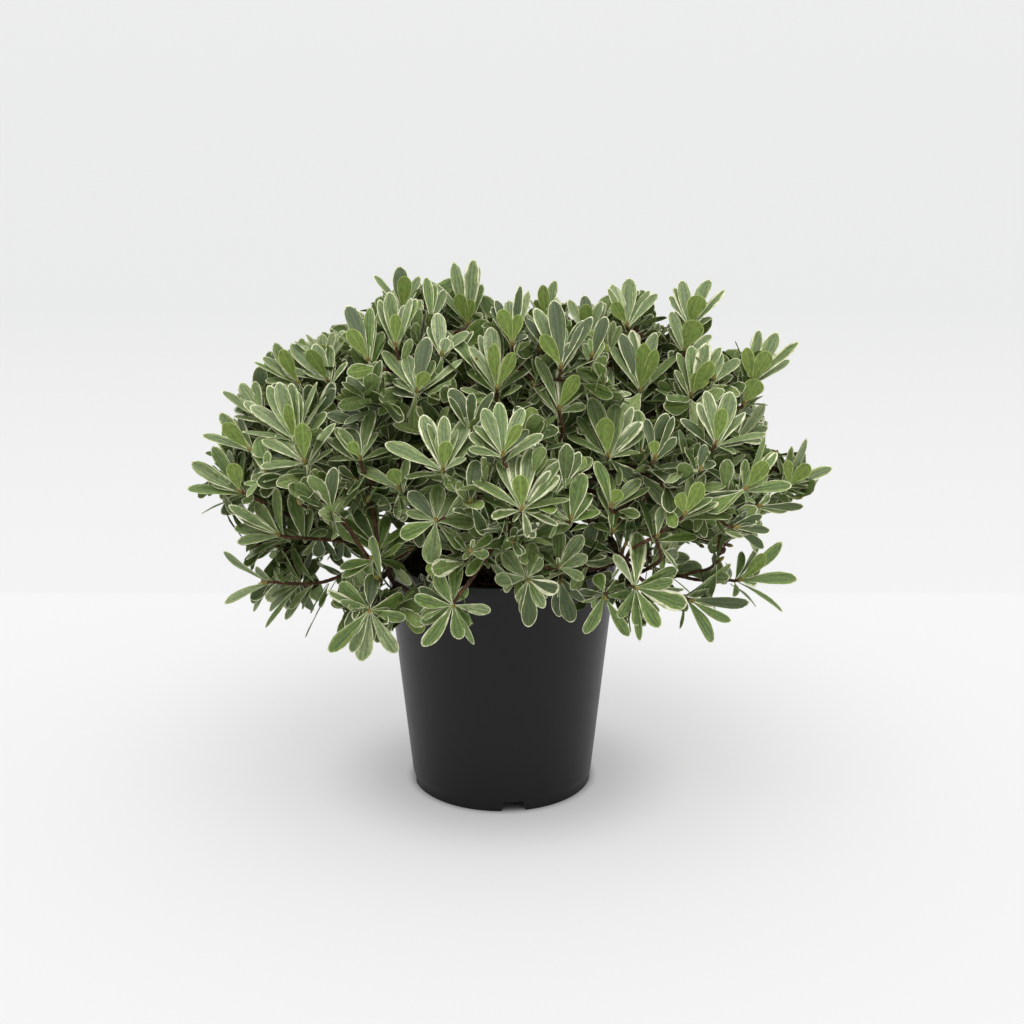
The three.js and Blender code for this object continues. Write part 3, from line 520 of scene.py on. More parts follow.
def close_windows():
    """Shoots inside the crown where a line of sight from any side would pass through it."""
    sights = [(CAM, None)]
    for e, count in ((8, 10), (38, 8), (66, 5), (82, 2)):
        for k in range(count):
            a, b = 2 * math.pi * (k + 0.5 * (e == 38)) / count, math.radians(e)
            sights.append((np.array([0, 0, 330]) + 2000 * np.array([math.cos(a) * math.cos(b),
                           math.sin(a) * math.cos(b), math.sin(b)]), e))
    origins, ways = [], []
    for o, e in sights:
        f = unit(np.array([0, 0, 360.0]) - o)
        x = unit(np.cross(f, UP))
        y = np.cross(x, f)
        for a in np.arange(-330, 331, 19):
            for b in np.arange(-170, 190, 19):
                origins.append(o)
                ways.append(unit(np.array([0, 0, 360.0]) + x * a + y * b - o))
    origins, ways = np.array(origins), np.array(ways)
    t = np.arange(1500, 2500, 14)
    long_ = np.zeros(len(ways))
    spots = []
    for i in range(0, len(ways), 500):
        pts = origins[i:i + 500, None] + ways[i:i + 500, None] * t[None, :, None]
        d = depth_in(pts.reshape(-1, 3)).min(axis=1).reshape(pts.shape[:2])
        inside = (d < 0.86) & (pts[..., 2] > 232)
        long_[i:i + 500] = inside.sum(axis=1) * 14
        spots += [np.flatnonzero(k) for k in inside]

    def hits(c, r):
        to = c - origins
        along = np.einsum("ij,ij->i", to, ways)
        return (np.linalg.norm(to - ways * along[:, None], axis=1) < r).astype(int)

    seen = np.zeros(len(ways), int)
    for s in tips:
        seen += hits(s["p"] + s["axis"] * s["L"] * 0.32, s["L"] * 0.58)
    at = np.array([s["p"] for s in tips])
    made = 0
    for i in rng.permutation(len(ways)):
        need = 3 if long_[i] > 110 else 2 if long_[i] > 50 else 0
        tries = 0
        while seen[i] < need and tries < 5:
            tries += 1
            k = spots[i]
            p = origins[i] + ways[i] * t[k[int(rng.integers(len(k)))]] + rng.normal(0, 4, 3)
            if np.min(np.linalg.norm(at - p, axis=1)) < 21 or not clear_of_picture(p, 0.0, 0):
                continue
            if np.hypot(p[0], p[1]) < 40 and p[2] < 290:
                continue
            axis = unit(unit([p[0], p[1], 0.8 * (p[2] - 250)]) * 0.8 - ways[i] * 0.35 + UP * 0.35 + rng.normal(0, 0.2, 3))
            L = 43 * rng.uniform(0.86, 1.14)
            if hides_listed(p, axis, L):
                continue
            # these shoots inside the crown are mostly deep green, as painted shade
            tips.append(dict(p=p, axis=axis, L=L, n=int(rng.integers(7, 10)), tone=int(rng.choice([0, 1, 3], p=[0.08, 0.08, 0.84])),
                             kind=2, young=0, pale=0, low=int(rng.integers(1, 3)), stem=[]))
            at = np.vstack([at, p])
            seen += hits(p + axis * L * 0.32, L * 0.58)
            made += 1
    return made


close_windows()
print("shoots: listed", n_hero, "shell", n_shell - n_hero, "inner", n_inner - n_shell, n_deep - n_inner, len(tips) - n_deep)

# ------------------------------------------------------------ limbs and twigs


def wobble(a, s, seed):
    """Smooth noise between about -1 and 1 round a limb (a, radians) and along it (s)."""
    r = np.random.default_rng(seed)
    out = 0
    for k in (2, 3, 5, 8):
        ph = r.uniform(0, 6.28, 4)
        out = out + (np.sin(k * a + ph[0] + 1.3 * np.sin(s * (0.05 + 0.02 * k) + ph[1]))
                     * np.sin(s * (0.09 + 0.035 * k) + ph[2])) / (1 + 0.35 * k)
    return out * 0.8


def tube(path, radii, sides, relief=0.0, seed=0, cap=False):
    path = np.asarray(path, float)
    n = len(path)
    way = unit(np.gradient(path, axis=0))
    side = np.array([0.31, 0.87, 0.38])
    run = np.concatenate([[0], np.cumsum(np.linalg.norm(np.diff(path, axis=0), axis=1))])
    a = np.arange(sides) / sides * 2 * np.pi
    rings = []
    for i in range(n):
        side = side - way[i] * (side @ way[i])
        if np.linalg.norm(side) < 0.1:
            side = np.array([0.9, 0.1, 0.2]) - way[i] * (way[i] @ np.array([0.9, 0.1, 0.2]))
        side = unit(side)
        other = np.cross(way[i], side)
        r = np.full(sides, float(radii[i]))
        if relief:
            r = r * (1 + relief * wobble(a, run[i], seed))
        rings.append(path[i] + (np.cos(a) * r)[:, None] * side + (np.sin(a) * r)[:, None] * other)
    v = np.concatenate(rings)
    i, k = np.meshgrid(np.arange(n - 1), np.arange(sides), indexing="ij")
    j = (k + 1) % sides
    q = np.stack([i * sides + k, i * sides + j, (i + 1) * sides + j, (i + 1) * sides + k], -1).reshape(-1, 4)
    uv = np.stack([np.tile(a / 6.2832, n), np.repeat(run, sides) / 40], 1)
    return v, q, uv


class Bag:
    """Meshes gathered to be joined: vertices, quads and a flat coordinate for each vertex."""

    def __init__(self):
        self.v, self.q, self.uv, self.n = [], [], [], 0

    def add(self, v, q, uv=None):
        self.v.append(v)
        self.q.append(q + self.n)
        self.uv.append(np.zeros((len(v), 2)) if uv is None else uv)
        self.n += len(v)

    def get(self):
        return np.concatenate(self.v), np.concatenate(self.q), np.concatenate(self.uv)


boughs_bag, twigs_bag, buds_bag = Bag(), Bag(), Bag()

# trunk, with a flare that runs out into the mix
ts = np.concatenate([[-0.14, -0.07], np.linspace(0, 1.06, 26)])
t_path = np.array([trunk_at(max(t, 0)) + [0, 0, TRUNK_LEN * min(t, 0)] for t in ts])
t_path[-2:, 2] += [0, 1.5]
t_r = np.array([trunk_r(t) * (1.06 if t < 0 else 1.0) for t in ts])
t_r[-3:] *= [0.97, 0.86, 0.35]
v, q, uv = tube(t_path, t_r, 40, relief=0.085, seed=5)
ang = np.tile(np.arange(40) / 40 * 2 * np.pi, len(ts))
lobes = (1 + 0.20 * np.exp(-np.repeat(np.maximum(ts, 0), 40) * 9) * np.sin(3 * ang + 0.6))
axis_xy = np.repeat(t_path, 40, axis=0)
v[:, :2] = axis_xy[:, :2] + (v[:, :2] - axis_xy[:, :2]) * lobes[:, None]
boughs_bag.add(v, q, uv)

bough_paths = []
for k, (name, (parent, at, r0, r1, rise, tip)) in enumerate(BOUGHS.items()):
    t = np.linspace(0, 1, 46)
    c = CURVES[name]
    path = bezier(c, t)
    r = np.linspace(r0, r1, 46)
    r[0:4] *= [1.32, 1.2, 1.1, 1.04]                       # collar where it leaves its parent
    # it tapers on inside the mass and ends in its own shoot
    r *= np.where(t > 0.6, 1 - 0.35 * (t - 0.6) / 0.4, 1)
    bend = np.stack([np.sin(t * 9 + k), np.cos(t * 7 + 2 * k), np.sin(t * 8 + 3 * k)], 1) * 1.4 * np.sin(np.pi * t)[:, None]
    path = path + bend
    v, q, uv = tube(path, r, 14, relief=0.075, seed=40 + k)
    boughs_bag.add(v, q, uv)
    bough_paths.append(path[14:])


def hermite(a, wa, b, wb, n, ka=0.36, kb=0.36):
    span = np.linalg.norm(b - a)
    c = np.array([a, a + wa * span * ka, b - wb * span * kb, b])
    return bezier(c, np.linspace(0, 1, n)), c


WOOD = []     # twigs: path, mesh, the shoots that they carry, and whether they show bare


def twig(path, r0, r1, seed, of, sides=7, shown=None):
    n = len(path)
    r = np.linspace(r0, r1, n)
    s = np.random.default_rng(seed)
    r = r * (1 + 0.10 * np.sin(np.arange(n) * 2.4 + s.uniform(0, 6)))      # leaf scars
    WOOD.append((path, tube(path, r, sides, relief=0.05, seed=seed), of, shown))


def crosses(path, grow=0):
    """How many points of a path stand in front of or behind a gap."""
    u, v, _z = project(path)
    return int(in_gap(u, v, grow).sum())


def clusters(p, k, seed):
    r = np.random.default_rng(seed)
    c = [p[r.integers(len(p))]]
    for _ in range(k - 1):
        d = np.min([np.linalg.norm(p - a, axis=1) for a in c], axis=0)
        c.append(p[int(np.argmax(d))])
    c = np.array(c)
    for _ in range(12):
        own = np.argmin(np.linalg.norm(p[:, None] - c[None], axis=2), axis=1)
        c = np.array([p[own == j].mean(axis=0) if (own == j).any() else c[j] for j in range(k)])
    return own


shell = np.array([t["p"] for t in tips])
owner = np.argmin(depth_in(shell), axis=1)
owner[[bool(t.get("on")) for t in tips]] = -1        # their twig is there already
for m, name in enumerate(NAMES):
    mine = np.nonzero(owner == m)[0]
    if not len(mine):
        continue
    own = clusters(shell[mine], max(1, int(round(len(mine) / 3.4))), 100 + m)
    groups = [mine[own == j] for j in range(own.max() + 1) if (own == j).any()]
    c = CURVES[name]
    for g, group in enumerate(groups):
        middle = shell[group].mean(axis=0)
        ts = np.linspace(0.50, 0.99, 16)
        pts = bezier(c, ts)
        cost = np.linalg.norm(pts - middle, axis=1)
        cost = cost - 26 * (ts - 0.5) * 0.2 + rng.uniform(0, 6, len(ts))
        for j in range(len(ts)):
            cost[j] += 25 * crosses(pts[j] + (middle - pts[j]) * np.linspace(0.1, 1, 6)[:, None])
        best = int(np.argmin(cost + 0.25 * np.abs(ts - 0.8) * 60))
        at, way = pts[best], bezier_way(c, ts[best])
        to = middle - at
        span = np.linalg.norm(to)
        end = at + to * 0.56
        aim = unit(unit(to) + 0.25 * unit(np.mean([tips[i]["axis"] for i in group], axis=0)))
        start_way = unit(0.75 * way + 0.65 * unit(to))
        path, curve = hermite(at, start_way, end, aim, 12)
        r_at = BOUGHS[name][3] * 0.86
        cut = crosses(path, -1) >= 3
        if not cut:
            twig(path, min(r_at, 2.9), 2.2, 1000 + 20 * m + g, [int(i) for i in group], sides=8)
        order = sorted(group, key=lambda i: -np.linalg.norm(shell[i] - at))
        for rank, i in enumerate(order):
            t = tips[i]
            s = [1.0, 0.82, 0.62, 0.45, 0.35, 0.28, 0.22][min(rank, 6)]
            frm, fway = bezier(curve, s)[0], bezier_way(curve, s)
            if cut:
                best_cost = 1e9
                for other, oc in CURVES.items():
                    for ot in np.linspace(0.3, 0.98, 12):
                        op = bezier(oc, ot)[0]
                        gap = t["p"] - op
                        cost_ = np.linalg.norm(gap) + 40 * crosses(op + gap * np.linspace(0.1, 1, 8)[:, None])
                        if cost_ < best_cost:
                            best_cost, frm, fway = cost_, op, bezier_way(oc, ot)
            if t["stem"]:
                # passes the listed points on its way in, as one smooth run
                vias = [np.asarray(q) for q in t["stem"]]
                chain = [t["p"]] + vias
                inner = chain[-1]
                w_in = unit(chain[-1] - chain[-2])
                # it leaves the bough that lies best on its way
                best_cost = 1e9
                for other, oc in CURVES.items():
                    for ot in np.linspace(0.22, 0.95, 16):
                        op, ow = bezier(oc, ot)[0], bezier_way(oc, ot)
                        gap = op - inner
                        cost_ = np.linalg.norm(gap) + 70 * (1 - unit(gap) @ w_in) + 25 * (1 + unit(gap) @ ow)
                        if cost_ < best_cost:
                            best_cost, frm, fway = cost_, op, ow
                knots = [frm] + vias[::-1] + [t["p"]]
                knots = np.array(knots)
                out = []
                for j in range(len(knots) - 1):
                    p0 = knots[j - 1] if j else knots[j] - fway * 30
                    p1, p2 = knots[j], knots[j + 1]
                    p3 = knots[j + 2] if j + 2 < len(knots) else knots[j + 1] + t["axis"] * 30
                    u = np.linspace(0, 1, 9)[:-1, None]
                    out.append(0.5 * (2 * p1 + (p2 - p0) * u + (2 * p0 - 5 * p1 + 4 * p2 - p3) * u**2
                                      + (3 * p1 - p0 - 3 * p2 + p3) * u**3))
                path = np.concatenate(out + [knots[-1:]])
                twig(path, 2.0, 1.5, 3000 + i, [int(i)], sides=8, shown=9)
            else:
                to = t["p"] - frm
                sw = unit(0.5 * fway + 0.7 * unit(to))
                path, _ = hermite(frm, sw, t["p"], t["axis"], 9, 0.34, 0.40)
                if i >= n_hero and crosses(path, -1) >= 2:
                    t["skip"] = True
                else:
                    twig(path, 2.0 if t["kind"] == 0 else 1.8, 1.4, 3000 + i, [int(i)])
            t["path"] = path

# ------------------------------------------------------------------- leaves

owner_of_leaf = []
cols = {k: [] for k in ("B", "A", "R", "th", "be", "L", "W", "tw", "ro", "sb", "cup", "wa", "tone", "kind", "m", "fix", "seed")}


def perpendicular(a):
    e = np.array([0.0, 0.0, 1.0]) if abs(a[2]) < 0.8 else np.array([1.0, 0.0, 0.0])
    x = unit(np.cross(e, a))
    return x, np.cross(a, x)


def leaf(B, A, R, th, be, L, W, tone, kind, m, r, roll=0.0, fix=0):
    owner_of_leaf.append(current[0])
    cols["ro"].append(roll)
    cols["fix"].append(fix)
    cols["B"].append(B)
    cols["A"].append(A)
    cols["R"].append(R)
    cols["th"].append(th)
    cols["be"].append(be)
    cols["L"].append(L)
    cols["W"].append(W)
    cols["tw"].append(r.normal(0, 0.16))
    cols["sb"].append(r.normal(0, 0.05))
    cols["cup"].append(r.uniform(0.02, 0.17))
    cols["wa"].append(r.uniform(0.02, 0.10))
    cols["tone"].append(tone)
    cols["kind"].append(kind)                # 0 fine, 1 young, 2 coarse
    cols["m"].append(m)
    cols["seed"].append(r.integers(1 << 30))


def listed_leaf(t, goal, r, fresh, k):
    """A leaf whose tip lies on a given pixel, leaning away from the camera."""
    A, p = t["axis"], t["p"]
    u, v, w = goal
    d = ray(u, v)
    B = p + (A * 1.5 - FORE * 1.5 if fresh else -A * r.uniform(0, 7))
    flat = CAM + d * (((B - CAM) @ FORE) / (d @ FORE))
    far = float(np.linalg.norm(flat - B))
    f = r.uniform(1.05, 1.24)
    f = min(f, max(1.02, 1.12 * t["L"] / max(far, 1)))
    if fresh:                                # stands in front, its upper face to the camera
        tip = flat - d * far * 0.20
        D = unit(tip - B)
        be = r.uniform(0.16, 0.34)
        N = unit(-FORE + D * (FORE @ D))
        th = 0.2
        A, R = D * math.cos(th) + N * math.sin(th), D * math.sin(th) - N * math.cos(th)
        th -= 0.385 * be
    else:
        tip = flat + d * far * math.sqrt(f * f - 1)
        D = unit(tip - B)
        R = unit(D - A * (A @ D))
        be = r.uniform(0.10, 0.30)
        th = math.acos(np.clip(A @ D, -1, 1)) - 0.385 * be
    scale = ((flat - CAM) @ FORE) / 2000
    W, roll = w * scale * 1.04, 0.0
    if w < 9.5:
        roll = math.radians(34) * (1 if r.random() < 0.5 else -1)
        W = (w * 0.85 + 2.8) * scale
    m = r.uniform(0.32, 0.82)
    if r.random() < (0.6 if t["pale"] else 0.08):
        m = r.uniform(1.2, 2.5)
    tone = t["tone"] if r.random() < 0.75 else int(r.integers(0, 4))
    leaf(B + R * 0.6, A, R, th, be, float(np.linalg.norm(tip - B)), W, 0 if fresh else tone,
         1 if fresh else 0, 0.7 if fresh else m, r, roll, 1)


current = [0]
bud_of = {}
for i, t in enumerate(tips):
    if t.get("skip"):
        continue
    current[0] = i
    r = np.random.default_rng(9000 + i)
    A = t["axis"]
    x, y = perpendicular(A)
    n, L, p = t["n"], t["L"], t["p"]
    phase = r.uniform(0, 6.28)
    coarse = 2 if t["kind"] else 0
    face = -FORE if i < n_hero else unit([p[0], p[1], 0.4 * (p[2] - 250)])
    # shoots seen end on spread wide, upright ones stay narrower
    ahead = A @ -FORE
    open_ = (84 if ahead > 0.75 else 76 if ahead > 0.45 else 66) if i < n_hero else 70
    listed = t.get("to", [])
    for k, goal in enumerate(listed):
        listed_leaf(t, goal, r, False, k)
    for k, goal in enumerate(t.get("new", [])):
        listed_leaf(t, goal, r, True, k)
    if listed:
        n = 0 if t["on"] else max(5, n - len(listed))
        L = L * 0.80
    for j in range(n):
        q = j / max(n - 1, 1)                # 0 outermost and lowest, 1 innermost
        phi = phase + j * 2.39996 + r.normal(0, 0.16)
        if listed:                           # the rest of a listed shoot stands on its far side
            phi = math.atan2(FORE @ y, FORE @ x) + r.uniform(-1.5, 1.5)
        R = x * math.cos(phi) + y * math.sin(phi)
        th = math.radians(open_ - (open_ - 18) * q**0.8 + r.normal(0, 5))
        size = (0.90 + 0.12 * math.sin(math.pi * min(q * 1.15, 1))) * (1 - 0.26 * q**3) * r.uniform(0.88, 1.08)
        if t["young"] and q > 0.6 and R @ face > 0.35:
            th += math.radians(24)           # makes room for the new leaf
        LL = L * size
        be = math.radians(r.uniform(2, 30) * (1 - 0.55 * q) + 6)
        wide = 0.335 * r.uniform(0.86, 1.14)
        m = r.uniform(0.32, 0.82)
        if r.random() < (0.5 if t["pale"] else 0.08):
            m = r.uniform(1.2, 2.6)
        B = p - A * (13 * (1 - q) ** 1.3) + R * 0.8
        leaf(B, A, R, th, be, LL, LL * wide, t["tone"], coarse, m, r)
    if t.get("on"):
        continue
    if t["young"]:
        k = 1 if r.random() < 0.7 else 2
        for j in range(k):
            # the largest new leaf stands in front of the rest, as seen from outside
            phi = math.atan2(-face @ y, -face @ x) + r.normal(0, 0.35) + j * 1.9
            R = x * math.cos(phi) + y * math.sin(phi)
            LL = t["young"] * (1.12 if j == 0 else 0.75)
            leaf(p + A * 2 + face * 3.0, A, R, math.radians(r.uniform(8, 18)), math.radians(r.uniform(2, 12)),
                 LL, LL * r.uniform(0.48, 0.56), 0, 1, 0.7, r)
    path = t["path"]
    run = np.concatenate([[0], np.cumsum(np.linalg.norm(np.diff(path[::-1], axis=0), axis=1))])
    back = path[::-1]
    for j in range(t["low"]):
        s = 17 + j * (r.uniform(7, 12) if t["low"] < 6 else 6.2)
        if s > run[-1] * 0.8:
            break
        B = np.array([np.interp(s, run, back[:, k]) for k in range(3)])
        B2 = np.array([np.interp(s - 3, run, back[:, k]) for k in range(3)])
        a = unit(B2 - B)
        x2, y2 = perpendicular(a)
        phi = phase + 1 + j * 2.39996
        R = x2 * math.cos(phi) + y2 * math.sin(phi)
        LL = L * r.uniform(0.74, 0.98)
        # leaves lower down the twig, further in, are often deep green, partly as painted shade
        leaf(B + R * 1.2, a, R, math.radians(r.uniform(52, 78)), math.radians(r.uniform(0, 26)), LL, LL * 0.33 * r.uniform(0.88, 1.1),
             t["tone"] if r.random() < 0.6 else 3, coarse, r.uniform(0.5, 1.1), r)
    # bud at the tip
    ring = np.linspace(0, 1, 6)
    prof = np.sin(np.pi * (0.12 + 0.88 * ring)) ** 0.7 * 1.9 + 0.05
    b_path = p[None] + A[None] * (ring * 7.5 - 2.0)[:, None]
    bud_of[i] = tube(b_path, prof, 6)

P = {k: np.array(v, float) for k, v in cols.items()}
# no leaf reaches far out of the crown, or out of its outline in the picture or over a
# gap there: long ones are shortened, apart from those that are listed
hero_leaf = np.array(owner_of_leaf) < n_hero
listed_ = P["fix"] > 0


def along_leaf(sel, parts):
    """Pixels and depths of points along the chosen leaves' middles."""
    th_ = P["th"][sel] + 0.385 * P["be"][sel]
    way_ = P["A"][sel] * np.cos(th_)[:, None] + P["R"][sel] * np.sin(th_)[:, None]
    got = [project(P["B"][sel] + f * P["L"][sel][:, None] * way_) for f in parts]
    return [np.stack([g[i] for g in got], 1) for i in range(3)]


qu, qv, qz = (a.ravel() for a in along_leaf(np.nonzero(listed_)[0], (0.45, 0.7, 0.9)))
rest_ = np.nonzero(~listed_)[0]
for k in range(9):
    # those in front of a listed leaf are shortened too
    pu, pv, pz = along_leaf(rest_, (0.5, 0.75, 1.0))
    over_ = np.zeros(len(rest_), bool)
    for i in range(0, len(rest_), 400):
        j = slice(i, i + 400)
        near_ = (np.hypot(pu[j][..., None] - qu, pv[j][..., None] - qv) < 7.5) & (pz[j][..., None] < qz - 1.5)
        over_[j] = near_.any(axis=(1, 2))
    covers_ = np.zeros(len(P["L"]), bool)
    covers_[rest_] = over_
    th_ = P["th"] + 0.385 * P["be"]
    way_ = P["A"] * np.cos(th_)[:, None] + P["R"] * np.sin(th_)[:, None]
    end = P["B"] + P["L"][:, None] * way_
    out_ = (depth_in(end).min(axis=1) > np.where(end[:, 2] > 400, 1.24, 1.15)) & ~hero_leaf & (k < 5)
    eu, ev, _z = project(end)
    mu, mv, _z = project(P["B"] + 0.6 * P["L"][:, None] * way_)
    off_ = ~well_inside(eu, ev) | in_gap(eu, ev, 1) | in_gap(mu, mv, 2)
    for part in (0.3, 0.8):
        off_ |= in_gap(*project(P["B"] + part * P["L"][:, None] * way_)[:2], 0.5)
    off_ |= (P["B"][:, 1] < 50) & (in_gap(eu, ev, 2, SHADE) | in_gap(mu, mv, 2, SHADE))
    out_ = (out_ | off_ | covers_) & ~listed_
    P["L"][out_] *= 0.93
    P["W"][out_] *= 0.96
keep_ = listed_ | ~((off_ | covers_) & (P["L"] < 27))
P = {k: v[keep_] for k, v in P.items()}
print("dropped", int((~keep_).sum()))

# shoots that have lost their leaves lose their twig and bud too
left = np.bincount(np.array(owner_of_leaf)[keep_], minlength=len(tips))
left[:n_hero] += 4
for i, data in bud_of.items():
    if left[i] >= 4:
        buds_bag.add(*data)
WOOD = [w for w in WOOD if any(left[i] >= 4 for i in w[2])]
for _path, data, _of, _shown in WOOD:
    twigs_bag.add(*data)
print("skipped", sum(1 for t in tips if t.get("skip")), "bare", int((left < 4).sum()))

# More leaves spring from wood that would show bare, and close holes in the crown.
CELL = 4


def look_from(az, el):
    """A projection from 2 m away on one side, one pixel about one millimetre."""
    a, b = math.radians(az), math.radians(el)
    o = np.array([0, 0, 330.0]) + 2000 * np.array([math.cos(a) * math.cos(b), math.sin(a) * math.cos(b), math.sin(b)])
    f = unit(np.array([0, 0, 330.0]) - o)
    x = unit(np.cross(f, UP))
    y = np.cross(x, f)

    def to(q):
        d = np.atleast_2d(q) - o
        z = d @ f
        return 512 + 2000 * (d @ x) / z, 512 - 2000 * (d @ y) / z, z
    return o, to


def leaf_points(g):
    """Points all over leaves, (n, 60, 3)."""
    th_ = g["th"] + 0.385 * g["be"]
    way_ = g["A"] * np.cos(th_)[:, None] + g["R"] * np.sin(th_)[:, None]
    side_ = np.cross(g["R"], g["A"])
    along = np.linspace(0.08, 0.97, 12)
    wide = np.sqrt(np.sin(np.pi * along**1.8))
    across = np.array([-0.40, -0.2, 0, 0.2, 0.40])
    pts = g["B"][:, None, None] + way_[:, None, None] * (g["L"][:, None] * along)[:, :, None, None]
    pts = pts + side_[:, None, None] * ((g["W"][:, None] * wide)[:, :, None] * across)[..., None]
    return pts.reshape(len(pts), -1, 3)


def splat(buf, to, pts):
    u, v, z = to(pts.reshape(-1, 3))
    i, j = (v // CELL).astype(int), (u // CELL).astype(int)
    ok = (i >= 0) & (j >= 0) & (i < len(buf)) & (j < len(buf))
    np.minimum.at(buf, (i[ok], j[ok]), z[ok])


def spaced(path, step=5.0):
    run = np.concatenate([[0], np.cumsum(np.linalg.norm(np.diff(path, axis=0), axis=1))])
    s_ = np.arange(0, run[-1], step)
    return np.stack([np.interp(s_, run, path[:, k]) for k in range(3)], 1)


for k in cols:
    cols[k] = []
r = np.random.default_rng(515)
wood = [(spaced(path[:shown]), False, False) for path, _data, _of, shown in WOOD]
wood += [(spaced(path[shown - 1:]), True, False) for path, _data, _of, shown in WOOD if shown]
wood += [(spaced(path), False, True) for path in bough_paths]
wood_p = np.concatenate([w[0] for w in wood])
wood_way = np.concatenate([unit(np.gradient(w[0], axis=0)) if len(w[0]) > 1 else np.array([[0, 0, 1.0]] * len(w[0])) for w in wood])
wood_shown = np.concatenate([np.full(len(w[0]), w[1]) for w in wood])
wood_bough = np.concatenate([np.full(len(w[0]), w[2]) for w in wood])
added = dict(twigs=0, holes=0)
# points along the listed leaves, and the middles of their shoots
mine_ = P["fix"] > 0
gu, gv, gz = (a.ravel() for a in along_leaf(np.nonzero(mine_)[0], (0.22, 0.45, 0.7, 0.9)))
gu, gv, gz = (np.concatenate([a, hero_uvz[:, k]]) for k, a in enumerate((gu, gv, gz)))


def try_leaf(B, D, eye, L, kind, buf, to):
    """Adds one leaf with its upper face towards the eye, if it stays off what is listed."""
    D = unit(D)
    N = unit(eye - B)
    N = unit(N - D * (N @ D) + r.normal(0, 0.22, 3))
    N = unit(N - D * (N @ D))
    be, th = r.uniform(0.05, 0.35), 0.3
    A, R = D * math.cos(th) + N * math.sin(th), D * math.sin(th) - N * math.cos(th)
    B = B + N * 1.5
    for shorter in (1.0, 0.86, 0.72):
        q = B + D * L * shorter * np.array([0.35, 0.6, 0.8, 1.0])[:, None]
        u, v, z = project(q)
        if (~well_inside(u[1:], v[1:], 5.5)).any() or in_gap(u, v, 2).any():
            continue
        if q[0, 1] < 50 and in_gap(u, v, 2, SHADE).any():
            continue
        if depth_in(q[-1:]).min() > (1.24 if q[-1, 2] > 400 else 1.15):
            continue
        if ((np.hypot(u[:, None] - gu, v[:, None] - gv) < 7.5) & (z[:, None] < gz - 1.5)).any():
            continue
        # leaves that fill holes stand back in the crown and are often deep green, as painted shade
        leaf(B, A, R, th - 0.385 * be, be, L * shorter, L * shorter * r.uniform(0.31, 0.38),
             int(r.choice([0, 1, 2, 3], p=[0.3, 0.2, 0.1, 0.4])), kind, r.uniform(0.38, 0.85), r)
        g = {k: np.array(cols[k][-1:], float) for k in ("B", "A", "R", "th", "be", "L", "W")}
        splat(buf, to, leaf_points(g))
        return True
    return False


def clothe(eye, to, kind, main):
    buf = np.full((257, 257), 1e9)
    splat(buf, to, leaf_points(P))
    if cols["L"]:
        splat(buf, to, leaf_points({k: np.array(cols[k], float) for k in ("B", "A", "R", "th", "be", "L", "W")}))
    u, v, z = to(wood_p)
    i, j = (v // CELL).astype(int), (u // CELL).astype(int)
    for n in r.permutation(len(wood_p)):
        if wood_shown[n] or wood_p[n, 2] < 236 or np.hypot(wood_p[n, 0], wood_p[n, 1]) < 45:
            continue
        if buf[i[n], j[n]] < z[n]:
            continue
        for _ in range(4 if main else 2):
            # it runs along the wood, in front of it as seen from here
            L = r.uniform(34, 44)
            a = wood_way[n] * (1 if r.random() < 0.8 else -1)
            N = unit(eye - wood_p[n])
            D = unit(a + 0.35 * N + 0.4 * np.cross(a, N) * r.uniform(-1, 1))
            B = wood_p[n] - a * L * 0.45
            off = np.linalg.norm(wood_p - B, axis=1)
            B = wood_p[int(np.argmin(off))]
            if try_leaf(B, D, eye, L, kind, buf, to):
                added["twigs"] += 1
                break
    ci, cj = np.nonzero(buf > 1e8)
    cu, cv = (cj + 0.5) * CELL, (ci + 0.5) * CELL
    if main:
        want = well_inside(cu, cv, 9) & ~in_gap(cu, cv, 4) & ~in_gap(cu, cv, 3, SHADE) & ~((cv > 560) & (cu > 398) & (cu < 636))
    else:
        # cells with leaves near by on all four sides
        full = buf < 1e8
        ring = [np.zeros_like(full) for _ in range(4)]
        for k_ in range(1, 15):
            ring[0][k_:] |= full[:-k_]
            ring[1][:-k_] |= full[k_:]
            ring[2][:, k_:] |= full[:, :-k_]
            ring[3][:, :-k_] |= full[:, k_:]
        want = (ring[0] & ring[1] & ring[2] & ring[3])[ci, cj]
        ahead_ = unit(np.array([0, 0, 330.0]) - eye)
        across_ = unit(np.cross(ahead_, UP))
        upward_ = np.cross(across_, ahead_)
    for n in r.permutation(np.flatnonzero(want)):
        if buf[ci[n], cj[n]] < 1e8:
            continue
        far = np.hypot(u - cu[n], v - cv[n])
        near = np.flatnonzero((far > 8) & (far < 40))
        if not len(near):
            continue
        for k_ in range(40 if main else 6):
            b = int(near[int(r.integers(len(near)))])
            if main:
                d = ray(cu[n], cv[n])
                goal = CAM + d * (z[b] / (d @ FORE) + r.uniform(-6, 6 + k_))
            else:
                d = ahead_ + across_ * (cu[n] - 512) / 2000 - upward_ * (cv[n] - 512) / 2000
                goal = eye + d * (z[b] + r.uniform(-6, 6 + 2 * k_))
            if wood_p[b, 2] < 236:
                continue
            span = np.linalg.norm(goal - wood_p[b])
            L = float(np.clip(span / 0.62, 28, 46))
            if try_leaf(wood_p[b], goal - wood_p[b], eye, L, kind, buf, to):
                added["holes"] += 1
                break


clothe(CAM, project, 0, True)
clothe(CAM, project, 0, True)
for az, el in ((45, 8), (90, 8), (135, 8), (180, 8), (225, 8), (315, 8), (0, 8), (90, 35), (210, 35), (330, 35), (90, 75)):
    eye, to = look_from(az, el)
    clothe(eye, to, 2, False)
print("added", added)
P = {k: np.concatenate([P[k], np.array(cols[k], float)]) for k in P}
print("leaves", len(P["L"]), "fine", int((P["kind"] == 0).sum()), "young", int((P["kind"] == 1).sum()))


def rows_for(T):
    T = np.asarray(T)
    w = np.sin(np.pi * np.clip(T, 0, 1) ** 1.95)
    return np.maximum(w, 0) ** 0.53


